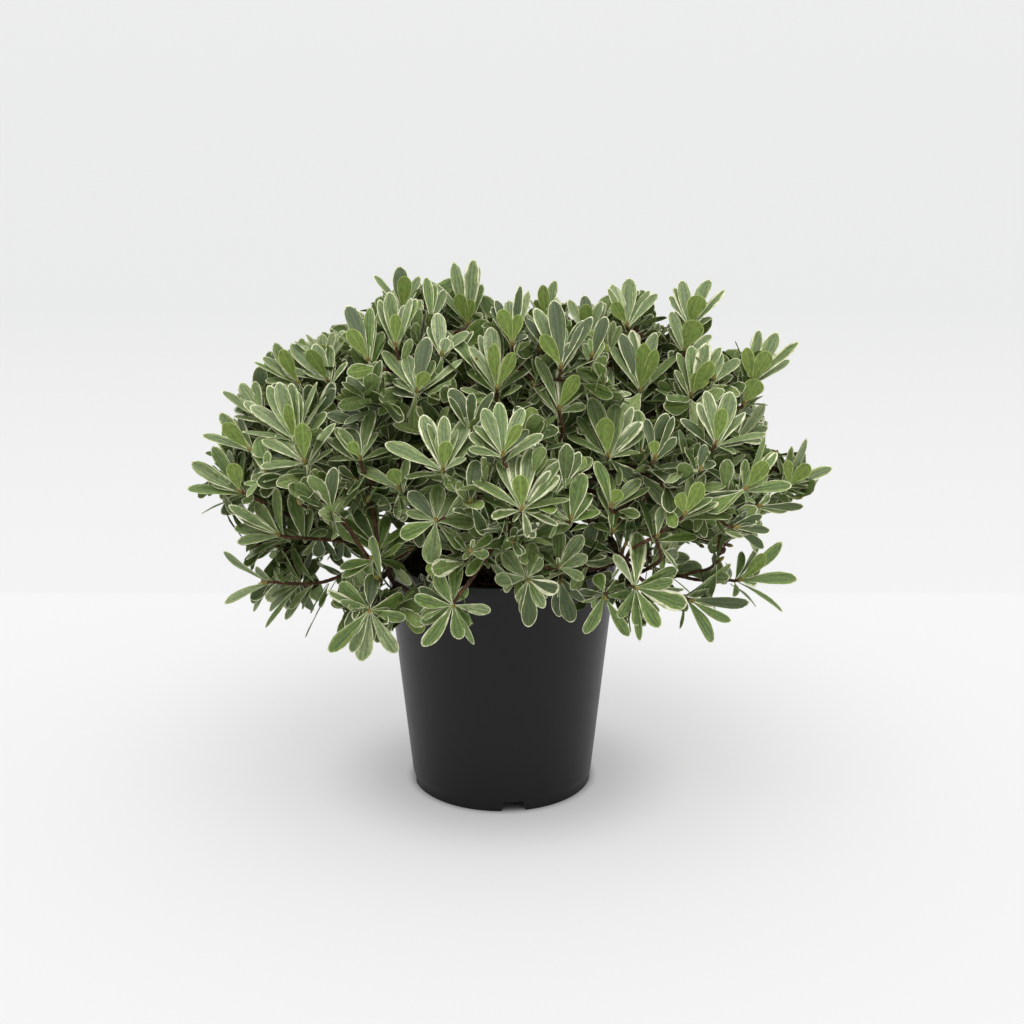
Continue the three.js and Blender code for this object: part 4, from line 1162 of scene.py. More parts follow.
def build(sel, T, tb_index):
    """Leaf surfaces for the chosen leaves: point grids for blade, core, margin, underside."""
    g = {k: P[k][sel] for k in P}
    n, K = len(g["L"]), len(T)
    rs = np.random.default_rng(77)
    tb = np.clip(1 - g["m"] * 1.15 / g["L"], 0.90, 0.975)
    T = np.tile(np.asarray(T), (n, 1))
    T[:, tb_index] = tb
    S = np.cross(g["R"], g["A"])
    theta = g["th"][:, None] + g["be"][:, None] * T**1.6
    D = g["A"][:, None] * np.cos(theta)[..., None] + g["R"][:, None] * np.sin(theta)[..., None]
    N = g["A"][:, None] * np.sin(theta)[..., None] - g["R"][:, None] * np.cos(theta)[..., None]
    mid = (D[:, 1:] + D[:, :-1]) / 2
    step = (T[:, 1:] - T[:, :-1])[..., None] * g["L"][:, None, None]
    C = np.concatenate([np.zeros((n, 1, 3)), np.cumsum(mid * step, axis=1)], axis=1) + g["B"][:, None]
    C = C + S[:, None] * (g["sb"] * g["L"])[:, None, None] * (T**2)[..., None]
    tw = (g["ro"][:, None] + g["tw"][:, None] * (0.3 + T))[..., None]
    S = np.repeat(S[:, None], K, axis=1)
    S2 = S * np.cos(tw) + N * np.sin(tw)
    N2 = N * np.cos(tw) - S * np.sin(tw)
    w = np.maximum(g["W"][:, None] / 2 * rows_for(T), 0.9)
    w[:, -1] = np.maximum(g["W"] * 0.055, 0.5)
    w[:, 0] = 1.0
    jag = rs.uniform(0.35, 1.60, (n, K, 2)) + (g["m"][:, None, None] > 1.7) * rs.uniform(-0.2, 0.6, (n, K, 2))
    mL = np.minimum(g["m"][:, None] * jag[..., 0], 0.46 * w)
    mR = np.minimum(g["m"][:, None] * jag[..., 1], 0.46 * w)
    bL, bR = w - mL, w - mR
    bL[:, tb_index] = 0.5 * w[:, tb_index]
    bR[:, tb_index] = 0.5 * w[:, tb_index]
    cL = bL * (0.34 + 0.42 * rs.random((n, K)))
    cR = bR * (0.34 + 0.42 * rs.random((n, K)))
    ph = rs.uniform(0, 6.28, (n, 2))

    def point(x, drop=0.0):
        """x: signed distance from the midrib, (n, K)."""
        f = x / w
        a = np.abs(f)
        h = w * g["cup"][:, None] * a**1.6 - 0.05 * w * a**6
        side = np.where(x < 0, 0, 1)
        wave = np.sin(9.5 * T + np.take_along_axis(ph, side, axis=1)) * g["wa"][:, None] * w * a**2
        h = h + wave - 0.28 * (1 - np.clip(a * 5, 0, 1)) * (T > 0.03) - drop
        return C + S2 * x[..., None] + N2 * h[..., None]

    lines = [point(-w), point(-bL), point(-cL), point(0 * w), point(cR), point(bR), point(w)]
    xs = [-w, -bL, -cL, 0 * w, cR, bR, w]
    under = [point(-bL, 0.06), point(0 * w, 0.42), point(bR, 0.06)]
    shift = rs.uniform(0, 900, n)[:, None]
    vv = T * g["L"][:, None] / 30 + shift
    uvs = [np.stack([x / 6, vv], -1) for x in xs]
    uvu = [np.stack([x / 6, vv], -1) for x in (-bL, 0 * w, bR)]
    return g, lines, uvs, under, uvu, K


def strips(lines, uvs, pairs, K, end=None, extra=None, turn=False):
    """Quads between neighbouring lines. end: last row used; extra: pairs joined only over the last segment."""
    idx = sorted({i for pr in pairs for i in pr} | ({i for pr in (extra or []) for i in pr}))
    pos = {i: k for k, i in enumerate(idx)}
    n = lines[0].shape[0]
    v = np.stack([lines[i] for i in idx], axis=1)          # n, lines, K, 3
    uv = np.stack([uvs[i] for i in idx], axis=1)
    quads = []
    last = K - 1 if end is None else end
    for a, b in pairs:
        for k in range(last):
            quads.append((pos[a] * K + k, pos[b] * K + k, pos[b] * K + k + 1, pos[a] * K + k + 1))
    for a, b in extra or []:
        quads.append((pos[a] * K + K - 2, pos[b] * K + K - 2, pos[b] * K + K - 1, pos[a] * K + K - 1))
    quads = np.array(quads)
    if turn:
        quads = quads[:, ::-1]
    q = quads[None] + (np.arange(n) * len(idx) * K)[:, None, None]
    return v.reshape(-1, 3), q.reshape(-1, 4), uv.reshape(-1, 2)


def used_only(v, q, uv):
    keep, inv = np.unique(q, return_inverse=True)
    return v[keep], inv.reshape(q.shape), uv[keep]


FINE = [0, 0.10, 0.22, 0.35, 0.48, 0.61, 0.73, 0.83, 0.91, 0.96, 1.0]
COARSE = [0, 0.20, 0.42, 0.64, 0.82, 0.96, 1.0]
bags = {}


def into(name, data):
    bags.setdefault(name, Bag()).add(*used_only(*data))


for kind, T in ((0, FINE), (1, FINE), (2, COARSE)):
    K = len(T)
    for tone in range(4):
        sel = np.nonzero((P["kind"] == kind) & (P["tone"] == tone))[0]
        if not len(sel):
            continue
        g, lines, uvs, under, uvu, K = build(sel, T, K - 2)
        e = K - 2
        if kind == 0:
            into(f"blade_{tone}", strips(lines, uvs, [(1, 2), (4, 5)], K, e))
            into(f"core_{tone}", strips(lines, uvs, [(2, 3), (3, 4)], K, e))
            into("margin", strips(lines, uvs, [(0, 1), (5, 6)], K, None, [(1, 2), (2, 3), (3, 4), (4, 5)]))
        elif kind == 1:
            into("young_blade", strips(lines, uvs, [(1, 2), (2, 3), (3, 4), (4, 5)], K, e))
            into("young_margin", strips(lines, uvs, [(0, 1), (5, 6)], K, None, [(1, 2), (2, 3), (3, 4), (4, 5)]))
        else:
            into(f"blade_{tone}", strips(lines, uvs, [(1, 3), (3, 5)], K, e))
            into("margin", strips(lines, uvs, [(0, 1), (5, 6)], K, None, [(1, 3), (3, 5)]))
        into("under_young" if kind == 1 else "under", strips(under, uvu, [(0, 1), (1, 2)], K, e, turn=True))

# ---------------------------------------------------------------- materials


def nodes_of(name):
    m = bpy.data.materials.new(name)
    m.use_nodes = True
    nt = m.node_tree
    return m, nt, nt.nodes["Principled BSDF"], nt.nodes, nt.links


def rgba(c):
    return (c[0], c[1], c[2], 1.0)


def srgb(r, g, b):
    def f(x):
        x /= 255
        return x / 12.92 if x <= 0.04045 else ((x + 0.055) / 1.055) ** 2.4
    return (f(r), f(g), f(b))


def scaled(c, k):
    return tuple(x * k for x in c)


def leaf_material(name, base, dark, light, rough, streak=5.0, ribs_and_sheen=True, spec=0.30, run=0.55):
    """Base colour with fine lengthwise streaks along each leaf."""
    m, nt, bsdf, nodes, links = nodes_of(name)
    uv = nodes.new("ShaderNodeUVMap")
    uv.uv_map = "flat"
    mp = nodes.new("ShaderNodeMapping")
    mp.inputs["Scale"].default_value = (streak, run, 1)
    links.new(uv.outputs["UV"], mp.inputs["Vector"])
    noise = nodes.new("ShaderNodeTexNoise")
    noise.inputs["Scale"].default_value = 1.0
    noise.inputs["Detail"].default_value = 3.0
    noise.inputs["Roughness"].default_value = 0.6
    links.new(mp.outputs["Vector"], noise.inputs["Vector"])
    ramp = nodes.new("ShaderNodeValToRGB")
    ramp.color_ramp.elements[0].position = 0.34
    ramp.color_ramp.elements[0].color = rgba(dark)
    ramp.color_ramp.elements[1].position = 0.68
    ramp.color_ramp.elements[1].color = rgba(light)
    mid = ramp.color_ramp.elements.new(0.50)
    mid.color = rgba(base)
    links.new(noise.outputs["Fac"], ramp.inputs["Fac"])
    colour = ramp.outputs["Color"]
    if ribs_and_sheen:
        # patches of a few millimetres, lighter and darker: mottling of the leaf, the lighter patches also painted sheen
        mp2 = nodes.new("ShaderNodeMapping")
        mp2.inputs["Scale"].default_value = (2.6, 8.0, 1)
        mp2.inputs["Rotation"].default_value = (0, 0, 0.5)
        links.new(uv.outputs["UV"], mp2.inputs["Vector"])
        mottle_and_sheen_noise = nodes.new("ShaderNodeTexNoise")
        mottle_and_sheen_noise.inputs["Scale"].default_value = 1.0
        mottle_and_sheen_noise.inputs["Detail"].default_value = 2.5
        links.new(mp2.outputs["Vector"], mottle_and_sheen_noise.inputs["Vector"])
        level = nodes.new("ShaderNodeMapRange")
        level.inputs["From Min"].default_value = 0.36
        level.inputs["From Max"].default_value = 0.64
        level.inputs["To Min"].default_value = 0.80
        level.inputs["To Max"].default_value = 1.22
        links.new(mottle_and_sheen_noise.outputs["Fac"], level.inputs["Value"])
        vary = nodes.new("ShaderNodeVectorMath")
        vary.operation = "SCALE"
        links.new(colour, vary.inputs[0])
        links.new(level.outputs["Result"], vary.inputs["Scale"])
        colour = vary.outputs["Vector"]
    if ribs_and_sheen:
        sep = nodes.new("ShaderNodeSeparateXYZ")
        links.new(uv.outputs["UV"], sep.inputs["Vector"])
        ab = nodes.new("ShaderNodeMath")
        ab.operation = "ABSOLUTE"
        links.new(sep.outputs["X"], ab.inputs[0])
        mr = nodes.new("ShaderNodeMapRange")
        mr.inputs["From Min"].default_value = 0.03
        mr.inputs["From Max"].default_value = 0.13
        mr.inputs["To Min"].default_value = 0.55
        mr.inputs["To Max"].default_value = 0.0
        links.new(ab.outputs["Value"], mr.inputs["Value"])
        mix = nodes.new("ShaderNodeMix")
        mix.data_type = "RGBA"
        links.new(mr.outputs["Result"], mix.inputs["Factor"])
        links.new(colour, mix.inputs["A"])
        mix.inputs["B"].default_value = rgba(scaled(light, 1.35))
        colour = mix.outputs["Result"]
    links.new(colour, bsdf.inputs["Base Color"])
    bsdf.inputs["Roughness"].default_value = rough
    bsdf.inputs["Specular IOR Level"].default_value = spec
    return m


def three(c, lo=0.80, hi=1.22):
    return c, scaled(c, lo), scaled(c, hi)


TONES = [
    (srgb(123, 140, 80), srgb(95, 113, 63)),      # grey green, darker core
    (srgb(116, 139, 66), srgb(89, 112, 51)),      # fresher green
    (srgb(148, 161, 110), srgb(117, 133, 85)),    # pale grey green
    # deep green: a darker real leaf, dealt mostly to shoots deep in the crown, where it is painted shade
    (srgb(79, 96, 46), srgb(62, 79, 36)),         # deep green
]
MAT = {}
for i, (outer, core) in enumerate(TONES):
    MAT[f"blade_{i}"] = leaf_material(f"leaf_blade_{i}", *three(outer, 0.66, 1.34), 0.46, spec=0.50)
    MAT[f"core_{i}"] = leaf_material(f"leaf_core_{i}", *three(core, 0.62, 1.40), 0.46, spec=0.50)
MAT["margin"] = leaf_material("leaf_cream_margin", srgb(229, 229, 191), srgb(158, 172, 119), srgb(246, 244, 213), 0.58, 3.0, False,
                              run=3.4)
# the undersides are darker than a real leaf's paler underside: painted shade where they face down into the crown
MAT["under"] = leaf_material("leaf_underside", *three(srgb(118, 138, 78), 0.86, 1.15), 0.62)
MAT["under_young"] = leaf_material("leaf_underside_young", *three(srgb(128, 148, 68), 0.86, 1.16), 0.62)
MAT["young_blade"] = leaf_material("leaf_young", *three(srgb(113, 134, 57), 0.74, 1.20), 0.48, spec=0.42)
MAT["young_margin"] = leaf_material("leaf_young_margin", *three(srgb(170, 184, 108), 0.88, 1.12), 0.55, 3.0, False)


def bark_material(name, dark, base, light, scale, rough=0.82):
    m, nt, bsdf, nodes, links = nodes_of(name)
    tc = nodes.new("ShaderNodeTexCoord")
    noise = nodes.new("ShaderNodeTexNoise")
    noise.inputs["Scale"].default_value = scale
    noise.inputs["Detail"].default_value = 6.0
    links.new(tc.outputs["Object"], noise.inputs["Vector"])
    ramp = nodes.new("ShaderNodeValToRGB")
    ramp.color_ramp.elements[0].position = 0.32
    ramp.color_ramp.elements[0].color = rgba(dark)
    ramp.color_ramp.elements[1].position = 0.70
    ramp.color_ramp.elements[1].color = rgba(light)
    ramp.color_ramp.elements.new(0.5).color = rgba(base)
    links.new(noise.outputs["Fac"], ramp.inputs["Fac"])
    links.new(ramp.outputs["Color"], bsdf.inputs["Base Color"])
    bump = nodes.new("ShaderNodeBump")
    bump.inputs["Strength"].default_value = 0.5
    bump.inputs["Distance"].default_value = 0.0006
    links.new(noise.outputs["Fac"], bump.inputs["Height"])
    links.new(bump.outputs["Normal"], bsdf.inputs["Normal"])
    bsdf.inputs["Roughness"].default_value = rough
    bsdf.inputs["Specular IOR Level"].default_value = 0.25
    return m


MAT["limbs"] = bark_material("bark_grey_brown", srgb(42, 31, 23), srgb(72, 55, 41), srgb(104, 85, 66), 190)
MAT["twigs"] = bark_material("bark_red_brown", srgb(44, 29, 20), srgb(78, 52, 35), srgb(108, 80, 56), 260, 0.7)
MAT["buds"] = bark_material("bud_scales", srgb(92, 78, 36), srgb(132, 116, 58), srgb(160, 148, 84), 500, 0.6)

# ------------------------------------------------------------- making pieces


def mesh_object(name, v, q, uv, material, smooth=True):
    me = bpy.data.meshes.new(name)
    n, m = len(v), len(q)
    me.vertices.add(n)
    me.vertices.foreach_set("co", (np.asarray(v) * MM).astype(np.float32).ravel())
    me.loops.add(4 * m)
    me.loops.foreach_set("vertex_index", np.ascontiguousarray(q).astype(np.int32).ravel())
    me.polygons.add(m)
    me.polygons.foreach_set("loop_start", np.arange(0, 4 * m, 4, dtype=np.int32))
    layer = me.uv_layers.new(name="flat")
    layer.data.foreach_set("uv", uv[np.asarray(q).ravel()].astype(np.float32).ravel())
    me.update(calc_edges=True)
    me.validate()
    me.polygons.foreach_set("use_smooth", np.full(len(me.polygons), smooth))
    me.materials.append(material)
    o = bpy.data.objects.new(name, me)
    bpy.context.scene.collection.objects.link(o)
    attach(o, "root")
    return o


MASS_NODES = [f"foliage_{n}" for n in NAMES]
LIMB_NODES = ["trunk"] + [f"bough_{n}" for n in NAMES]
total = 0


def pieces_from(bag, base_name, material, nodes, limit=190000):
    global total
    v, q, uv = bag.get()
    parts = max(1, math.ceil(2 * len(q) / limit))
    cuts = np.linspace(0, len(q), parts + 1).astype(int)
    for i in range(parts):
        qq = q[cuts[i]:cuts[i + 1]]
        vv, qi, uu = used_only(v, qq, uv)
        name = base_name if parts == 1 else f"{base_name}_{'abcdefgh'[i]}"
        o = mesh_object(name, vv, qi, uu, material)
        if nodes:
            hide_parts(*nodes)
        total += 2 * len(qi)
        print(name, 2 * len(qi))


for key in sorted(bags):
    if key.startswith("blade"):
        pieces_from(bags[key], f"leaf_blades_{key[-1]}", MAT[key], MASS_NODES)
    elif key.startswith("core"):
        pieces_from(bags[key], f"leaf_middles_{key[-1]}", MAT[key], MASS_NODES)
    elif key == "margin":
        pieces_from(bags[key], "leaf_margins", MAT[key], MASS_NODES)
    elif key == "under":
        pieces_from(bags[key], "leaf_undersides", MAT[key], MASS_NODES)
    elif key == "under_young":
        pieces_from(bags[key], "young_leaf_undersides", MAT[key], MASS_NODES)
    elif key == "young_blade":
        pieces_from(bags[key], "young_leaves", MAT[key], MASS_NODES)
    elif key == "young_margin":
        pieces_from(bags[key], "young_leaf_margins", MAT[key], MASS_NODES)
pieces_from(boughs_bag, "limbs_with_bark", MAT["limbs"], LIMB_NODES)
pieces_from(twigs_bag, "twigs", MAT["twigs"], MASS_NODES)
pieces_from(buds_bag, "buds", MAT["buds"], MASS_NODES)

# ---------------------------------------------------------------------- pot


def wall_r(z):
    return 89.93 + 0.10381 * (z - 10)


def lathe(profile, sides):
    """Profile of (radius, height) from axis to axis, closed round the axis."""
    a = np.arange(sides) / sides * 2 * np.pi
    v, q = [], []
    rings = []
    for r, z in profile:
        if r <= 1e-6:
            rings.append([len(v)])
            v.append((0, 0, z))
        else:
            rings.append(list(range(len(v), len(v) + sides)))
            v.extend(zip(np.cos(a) * r, np.sin(a) * r, [z] * sides))
    faces = []
    for A, B in zip(rings[:-1], rings[1:]):
        for k in range(sides):
            j = (k + 1) % sides
            if len(A) == 1:
                faces.append((A[0], B[j], B[k]))
            elif len(B) == 1:
                faces.append((A[k], A[j], B[0]))
            else:
                faces.append((A[k], A[j], B[j], B[k]))
    return v, faces


def pydata_object(name, v, f, material):
    me = bpy.data.meshes.new(name)
    me.from_pydata([tuple(np.array(p) * MM) for p in v], [], f)
    me.validate()
    me.update()
    me.materials.append(material)
    o = bpy.data.objects.new(name, me)
    bpy.context.scene.collection.objects.link(o)
    return o


def arc(cx, cz, r, a0, a1, n):
    return [(cx + r * math.cos(math.radians(a0 + (a1 - a0) * i / n)),
             cz + r * math.sin(math.radians(a0 + (a1 - a0) * i / n))) for i in range(n + 1)]


foot = 88.9
profile = [(0, 5.0), (28, 5.0), (30, 4.2), (33, 4.2), (35, 5.0), (70, 5.0), (82.2, 5.0)]
profile += [(84.3, 4.4), (84.4, 0.5), (84.9, 0.0), (88.3, 0.0), (foot, 0.6)]
profile += [(foot, 5.0), (foot, 9.3), (foot + 0.15, 9.8), (wall_r(10.6) - 0.15, 10.3), (wall_r(10.9), 10.9)]
profile += [(wall_r(z), z) for z in (16, 40, 80, 120, 160, 195, 215, 224.6, 226.6)]
profile += [(wall_r(227.6) + 0.2, 227.4), (113.3, 227.9), (113.65, 228.6), (113.9, 234.0), (114.0, 238.2)]
profile += arc(112.9, 238.9, 1.1, 0, 180, 8)
profile += [(111.7, 236.0), (wall_r(228) - 2.0, 228.0)]
profile += [(wall_r(z) - 2.0, z) for z in (215, 190, 120, 60, 9.0)]
profile += [(wall_r(7.2) - 3.2, 7.2), (0, 7.2)]
pv, pf = lathe(profile, 160)

m, nt, bsdf, nodes, links = nodes_of("pot_black_plastic")
tc = nodes.new("ShaderNodeTexCoord")
noise = nodes.new("ShaderNodeTexNoise")
noise.inputs["Scale"].default_value = 60
noise.inputs["Detail"].default_value = 8
links.new(tc.outputs["Object"], noise.inputs["Vector"])
ramp = nodes.new("ShaderNodeValToRGB")
ramp.color_ramp.elements[0].color = rgba((0.0040, 0.0040, 0.0041))
ramp.color_ramp.elements[1].color = rgba((0.0070, 0.0070, 0.0070))
links.new(noise.outputs["Fac"], ramp.inputs["Fac"])
links.new(ramp.outputs["Color"], bsdf.inputs["Base Color"])
rr = nodes.new("ShaderNodeMapRange")
rr.inputs["To Min"].default_value = 0.34
rr.inputs["To Max"].default_value = 0.46
links.new(noise.outputs["Fac"], rr.inputs["Value"])
links.new(rr.outputs["Result"], bsdf.inputs["Roughness"])
fine = nodes.new("ShaderNodeTexNoise")
fine.inputs["Scale"].default_value = 900
links.new(tc.outputs["Object"], fine.inputs["Vector"])
bump = nodes.new("ShaderNodeBump")
bump.inputs["Strength"].default_value = 0.12
bump.inputs["Distance"].default_value = 0.0003
links.new(fine.outputs["Fac"], bump.inputs["Height"])
links.new(bump.outputs["Normal"], bsdf.inputs["Normal"])
bsdf.inputs["Specular IOR Level"].default_value = 0.27
MAT["pot"] = m

pot = pydata_object("nursery_pot", pv, pf, MAT["pot"])
for i in range(4):
    a = math.radians(-82.5 + 90 * i)
    radial = np.array([math.cos(a), math.sin(a), 0])
    across = np.array([-math.sin(a), math.cos(a), 0])
    ring = [(-12.5, -2), (12.5, -2), (9.6, 8.6), (8.6, 9.7), (7.0, 10.0), (-7.0, 10.0), (-8.6, 9.7), (-9.6, 8.6)]
    cv = [radial * 80 + across * s + UP * z for s, z in ring] + [radial * 96 + across * s + UP * z for s, z in ring]
    k = len(ring)
    cf = [tuple(range(k - 1, -1, -1)), tuple(range(k, 2 * k))]
    cf += [(j, (j + 1) % k, (j + 1) % k + k, j + k) for j in range(k)]
    cutter = pydata_object(f"cut_{i}", cv, cf, MAT["pot"])
    import bmesh
    bm = bmesh.new()
    bm.from_mesh(cutter.data)
    bmesh.ops.recalc_face_normals(bm, faces=bm.faces)
    bm.to_mesh(cutter.data)
    bm.free()
    mod = pot.modifiers.new("cut", "BOOLEAN")
    mod.operation = "DIFFERENCE"
    mod.solver = "EXACT"
    mod.object = cutter
    bpy.context.view_layer.objects.active = pot
    with bpy.context.temp_override(object=pot, active_object=pot, selected_objects=[pot]):
        bpy.ops.object.modifier_apply(modifier="cut")
    bpy.data.objects.remove(cutter)
print("pot faces", len(pot.data.polygons))
pot.data.shade_smooth()
pot.data.set_sharp_from_angle(angle=math.radians(34))
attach(pot, "root")
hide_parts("pot")

# -------------------------------------------------------------- potting mix

r = np.random.default_rng(31)
R_MIX = wall_r(216) - 2.3
rings, sectors = 44, 110
rad_ = np.linspace(0, 1, rings) ** 0.8 * R_MIX
ang_ = np.arange(sectors) / sectors * 2 * np.pi
gr, ga = np.meshgrid(rad_, ang_, indexing="ij")
X, Y = gr * np.cos(ga), gr * np.sin(ga)
Z = 216 + 3.6 * np.clip(1 - (gr / R_MIX) ** 2, 0, 1)
for k in range(26):
    d = r.uniform(0, 6.28)
    f = r.uniform(0.05, 0.55)
    Z = Z + 0.42 * np.sin(f * (X * math.cos(d) + Y * math.sin(d)) + r.uniform(0, 6.28)) / (0.35 + f)
Z = Z + r.normal(0, 0.22, Z.shape)
mv = np.stack([X, Y, Z], -1).reshape(-1, 3)
i, k = np.meshgrid(np.arange(rings - 1), np.arange(sectors), indexing="ij")
j = (k + 1) % sectors
mq = np.stack([i * sectors + k, (i + 1) * sectors + k, (i + 1) * sectors + j, i * sectors + j], -1).reshape(-1, 4)
mixbag = Bag()
mixbag.add(mv[0:], mq[sectors:], mv[:, :2] / 40)
# the middle is hidden by the trunk and left open; a band of quads runs down from the outer edge
edge = [(0, 1, 2, 3)]
side_v = np.concatenate([mv[-sectors:], mv[-sectors:] * [0.995, 0.995, 0] + [0, 0, 204]])
kk = np.arange(sectors)
side_q = np.stack([kk, kk + sectors, (kk + 1) % sectors + sectors, (kk + 1) % sectors], -1)
mixbag.add(side_v, side_q)
# bark chips and fibres
cube = np.array([[x, y, z] for x in (-1, 1) for y in (-1, 1) for z in (-1, 1)], float)
cq = np.array([[0, 1, 3, 2], [4, 6, 7, 5], [0, 4, 5, 1], [2, 3, 7, 6], [0, 2, 6, 4], [1, 5, 7, 3]])
chips, crumbs = Bag(), Bag()
for k in range(900):
    rad1 = R_MIX * math.sqrt(r.random()) * 0.985
    if rad1 < 14:
        continue
    a1 = r.uniform(0, 6.28)
    size = np.array([r.uniform(1.6, 6.5), r.uniform(0.9, 2.6), r.uniform(0.5, 1.4)])
    if rad1 + size[0] > R_MIX - 1:
        rad1 = R_MIX - 1 - size[0]
    c = cube * size * r.uniform(0.72, 1.15, cube.shape)
    e = r.normal(0, 1, (3, 3)) * [[0.5, 0.5, 0.14], [0.5, 0.5, 0.14], [0.1, 0.1, 1]] + np.diag([1, 1, 1])
    Qm, _ = np.linalg.qr(e)
    w = r.uniform(0, 6.28)
    rot = np.array([[math.cos(w), -math.sin(w), 0], [math.sin(w), math.cos(w), 0], [0, 0, 1]])
    x1, y1 = rad1 * math.cos(a1), rad1 * math.sin(a1)
    z1 = 216 + 3.6 * (1 - (rad1 / R_MIX) ** 2) + r.uniform(-0.3, 1.1)
    c = c @ Qm.T @ rot.T + [x1, y1, z1]
    if np.linalg.det(Qm) < 0:
        (chips if k % 3 else crumbs).add(c, cq[:, ::-1])
    else:
        (chips if k % 3 else crumbs).add(c, cq)
MAT["mix"] = bark_material("potting_mix_peat", srgb(17, 12, 8), srgb(33, 23, 16), srgb(56, 41, 29), 240, 0.95)
MAT["chips"] = bark_material("potting_mix_bark_chips", srgb(46, 29, 18), srgb(74, 49, 31), srgb(102, 73, 48), 300, 0.85)
v, q, uv = mixbag.get()
o = mesh_object("potting_mix_surface", v, q, uv, MAT["mix"])
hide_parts("potting_mix")
for name, bag, mat in (("potting_mix_chips", chips, "chips"), ("potting_mix_crumbs", crumbs, "mix")):
    v, q, uv = bag.get()
    o = mesh_object(name, v, q, uv, MAT[mat], smooth=False)
    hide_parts("potting_mix")
    total += 2 * len(q)
print("triangles of the plant", total)

# -------------------------------------------------------------------- studio

m, nt, bsdf, nodes, links = nodes_of("studio_floor")
geo = nodes.new("ShaderNodeNewGeometry")
sep = nodes.new("ShaderNodeSeparateXYZ")
links.new(geo.outputs["Position"], sep.inputs["Vector"])
# past y 0.54 m the floor stands for the backdrop: a faint step down, then a tone that darkens further off, painted
# shade on the backdrop
step = nodes.new("ShaderNodeMapRange")
step.inputs["From Min"].default_value = 0.532
step.inputs["From Max"].default_value = 0.545
links.new(sep.outputs["Y"], step.inputs["Value"])
far = nodes.new("ShaderNodeMapRange")
far.inputs["From Min"].default_value = 0.54
far.inputs["From Max"].default_value = 2.3
links.new(sep.outputs["Y"], far.inputs["Value"])
mixf = nodes.new("ShaderNodeMix")
mixf.data_type = "RGBA"
mixf.inputs["A"].default_value = rgba((0.965,) * 3)
mixf.inputs["B"].default_value = rgba((0.865, 0.872, 0.872))
links.new(far.outputs["Result"], mixf.inputs["Factor"])
mixs = nodes.new("ShaderNodeMix")
mixs.data_type = "RGBA"
mixs.inputs["A"].default_value = rgba((1.0,) * 3)
links.new(step.outputs["Result"], mixs.inputs["Factor"])
links.new(mixf.outputs["Result"], mixs.inputs["B"])
# the floor glows with painted light of its own, as on a light table, so that shadows stay faint; the glow is weaker
# near the pot, as painted shade round its foot
own = nodes.new("ShaderNodeVectorMath")
own.operation = "SCALE"
flat = nodes.new("ShaderNodeVectorMath")
flat.operation = "MULTIPLY"
flat.inputs[1].default_value = (1, 1, 0)
links.new(geo.outputs["Position"], flat.inputs[0])
away = nodes.new("ShaderNodeVectorMath")
away.operation = "LENGTH"
links.new(flat.outputs["Vector"], away.inputs[0])
# the glow grows from 0.30 by the pot to 0.46 farther out: painted shade near the pot
near = nodes.new("ShaderNodeMapRange")
near.interpolation_type = "SMOOTHSTEP"
near.inputs["From Min"].default_value = 0.080
near.inputs["From Max"].default_value = 0.20
near.inputs["To Min"].default_value = 0.30
near.inputs["To Max"].default_value = 0.46
links.new(away.outputs["Value"], near.inputs["Value"])
# none of the glow under the pot: painted shade under it
shade_under_pot = nodes.new("ShaderNodeMapRange")
shade_under_pot.interpolation_type = "SMOOTHSTEP"
shade_under_pot.inputs["From Min"].default_value = 0.083
shade_under_pot.inputs["From Max"].default_value = 0.098
links.new(away.outputs["Value"], shade_under_pot.inputs["Value"])
glow_amount = nodes.new("ShaderNodeMath")
glow_amount.operation = "MULTIPLY"
links.new(near.outputs["Result"], glow_amount.inputs[0])
links.new(shade_under_pot.outputs["Result"], glow_amount.inputs[1])
links.new(glow_amount.outputs["Value"], own.inputs["Scale"])
links.new(mixs.outputs["Result"], own.inputs[0])
links.new(own.outputs["Vector"], bsdf.inputs["Emission Color"])
bsdf.inputs["Emission Strength"].default_value = 1.0
got = nodes.new("ShaderNodeVectorMath")
got.operation = "SCALE"
got.inputs["Scale"].default_value = 0.36
links.new(mixs.outputs["Result"], got.inputs[0])
links.new(got.outputs["Vector"], bsdf.inputs["Base Color"])
bsdf.inputs["Roughness"].default_value = 0.75
bsdf.inputs["Specular IOR Level"].default_value = 0.1
floor = pydata_object("studio_floor", [(-60000, -60000, 0), (60000, -60000, 0), (60000, 60000, 0), (-60000, 60000, 0)],
                      [(0, 1, 2, 3)], m)

world = bpy.data.worlds.new("studio")
bpy.context.scene.world = world
world.use_nodes = True
wn, wl = world.node_tree.nodes, world.node_tree.links
bg = wn["Background"]
tc = wn.new("ShaderNodeTexCoord")
sep = wn.new("ShaderNodeSeparateXYZ")
wl.new(tc.outputs["Generated"], sep.inputs["Vector"])
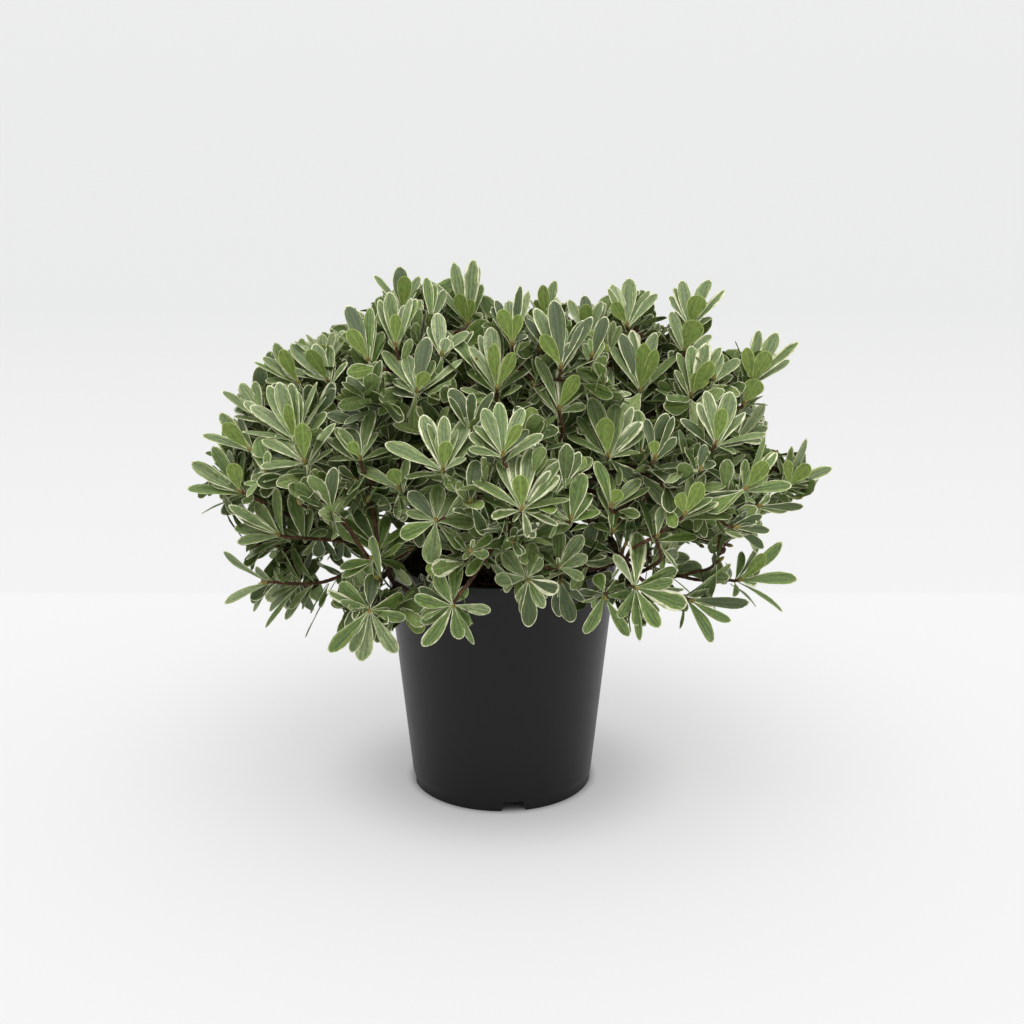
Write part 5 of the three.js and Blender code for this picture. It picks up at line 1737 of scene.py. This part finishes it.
# darker towards the front, where the camera stands, and brighter overhead
front = wn.new("ShaderNodeMapRange")
front.inputs["From Min"].default_value = -0.95
front.inputs["From Max"].default_value = 0.1
front.inputs["To Min"].default_value = 0.40
front.inputs["To Max"].default_value = 0.80
wl.new(sep.outputs["Y"], front.inputs["Value"])
over = wn.new("ShaderNodeMapRange")
over.inputs["From Min"].default_value = 0.1
over.inputs["From Max"].default_value = 1.0
over.inputs["To Min"].default_value = 1.0
over.inputs["To Max"].default_value = 1.42
wl.new(sep.outputs["Z"], over.inputs["Value"])
mul = wn.new("ShaderNodeMath")
mul.operation = "MULTIPLY"
wl.new(front.outputs["Result"], mul.inputs[0])
wl.new(over.outputs["Result"], mul.inputs[1])
# a narrow even band along the horizon, as bright as the floor that runs out there
band = wn.new("ShaderNodeMapRange")
band.inputs["From Min"].default_value = 0.055
band.inputs["From Max"].default_value = 0.10
band.inputs["To Min"].default_value = 1.0
band.inputs["To Max"].default_value = 0.0
wl.new(sep.outputs["Z"], band.inputs["Value"])
even = wn.new("ShaderNodeMix")
even.data_type = "FLOAT"
wl.new(band.outputs["Result"], even.inputs["Factor"])
wl.new(mul.outputs["Value"], even.inputs["A"])
even.inputs["B"].default_value = 0.93
wl.new(even.outputs["Result"], bg.inputs["Strength"])
bg.inputs["Color"].default_value = (1.0, 1.0, 1.0, 1.0)


def sun(name, strength, direction, angle):
    data = bpy.data.lights.new(name, "SUN")
    data.energy = strength
    data.angle = math.radians(angle)
    o = bpy.data.objects.new(name, data)
    bpy.context.scene.collection.objects.link(o)
    o.rotation_mode = "QUATERNION"
    o.rotation_quaternion = Vector(direction).to_track_quat("Z", "Y")
    return o


sun("key", 1.20, (-0.04, -0.30, 1.0), 54)
sun("fill", 0.29, (0.7, -0.3, 0.8), 80)

cam_data = bpy.data.cameras.new("photo_view")
cam_data.lens = FOCAL / 1024 * 36.0
cam_data.sensor_width = 36.0
cam_data.clip_start, cam_data.clip_end = 0.1, 200
cam = bpy.data.objects.new("photo_view", cam_data)
cam.location = CAM * MM
cam.rotation_euler = (math.radians(90) - PITCH, 0, 0)
bpy.context.scene.collection.objects.link(cam)
bpy.context.scene.camera = cam
bpy.context.scene.view_settings.view_transform = "Standard"
bpy.context.scene.view_settings.look = "None"
bpy.context.scene.view_settings.exposure = 0
bpy.context.scene.view_settings.gamma = 1
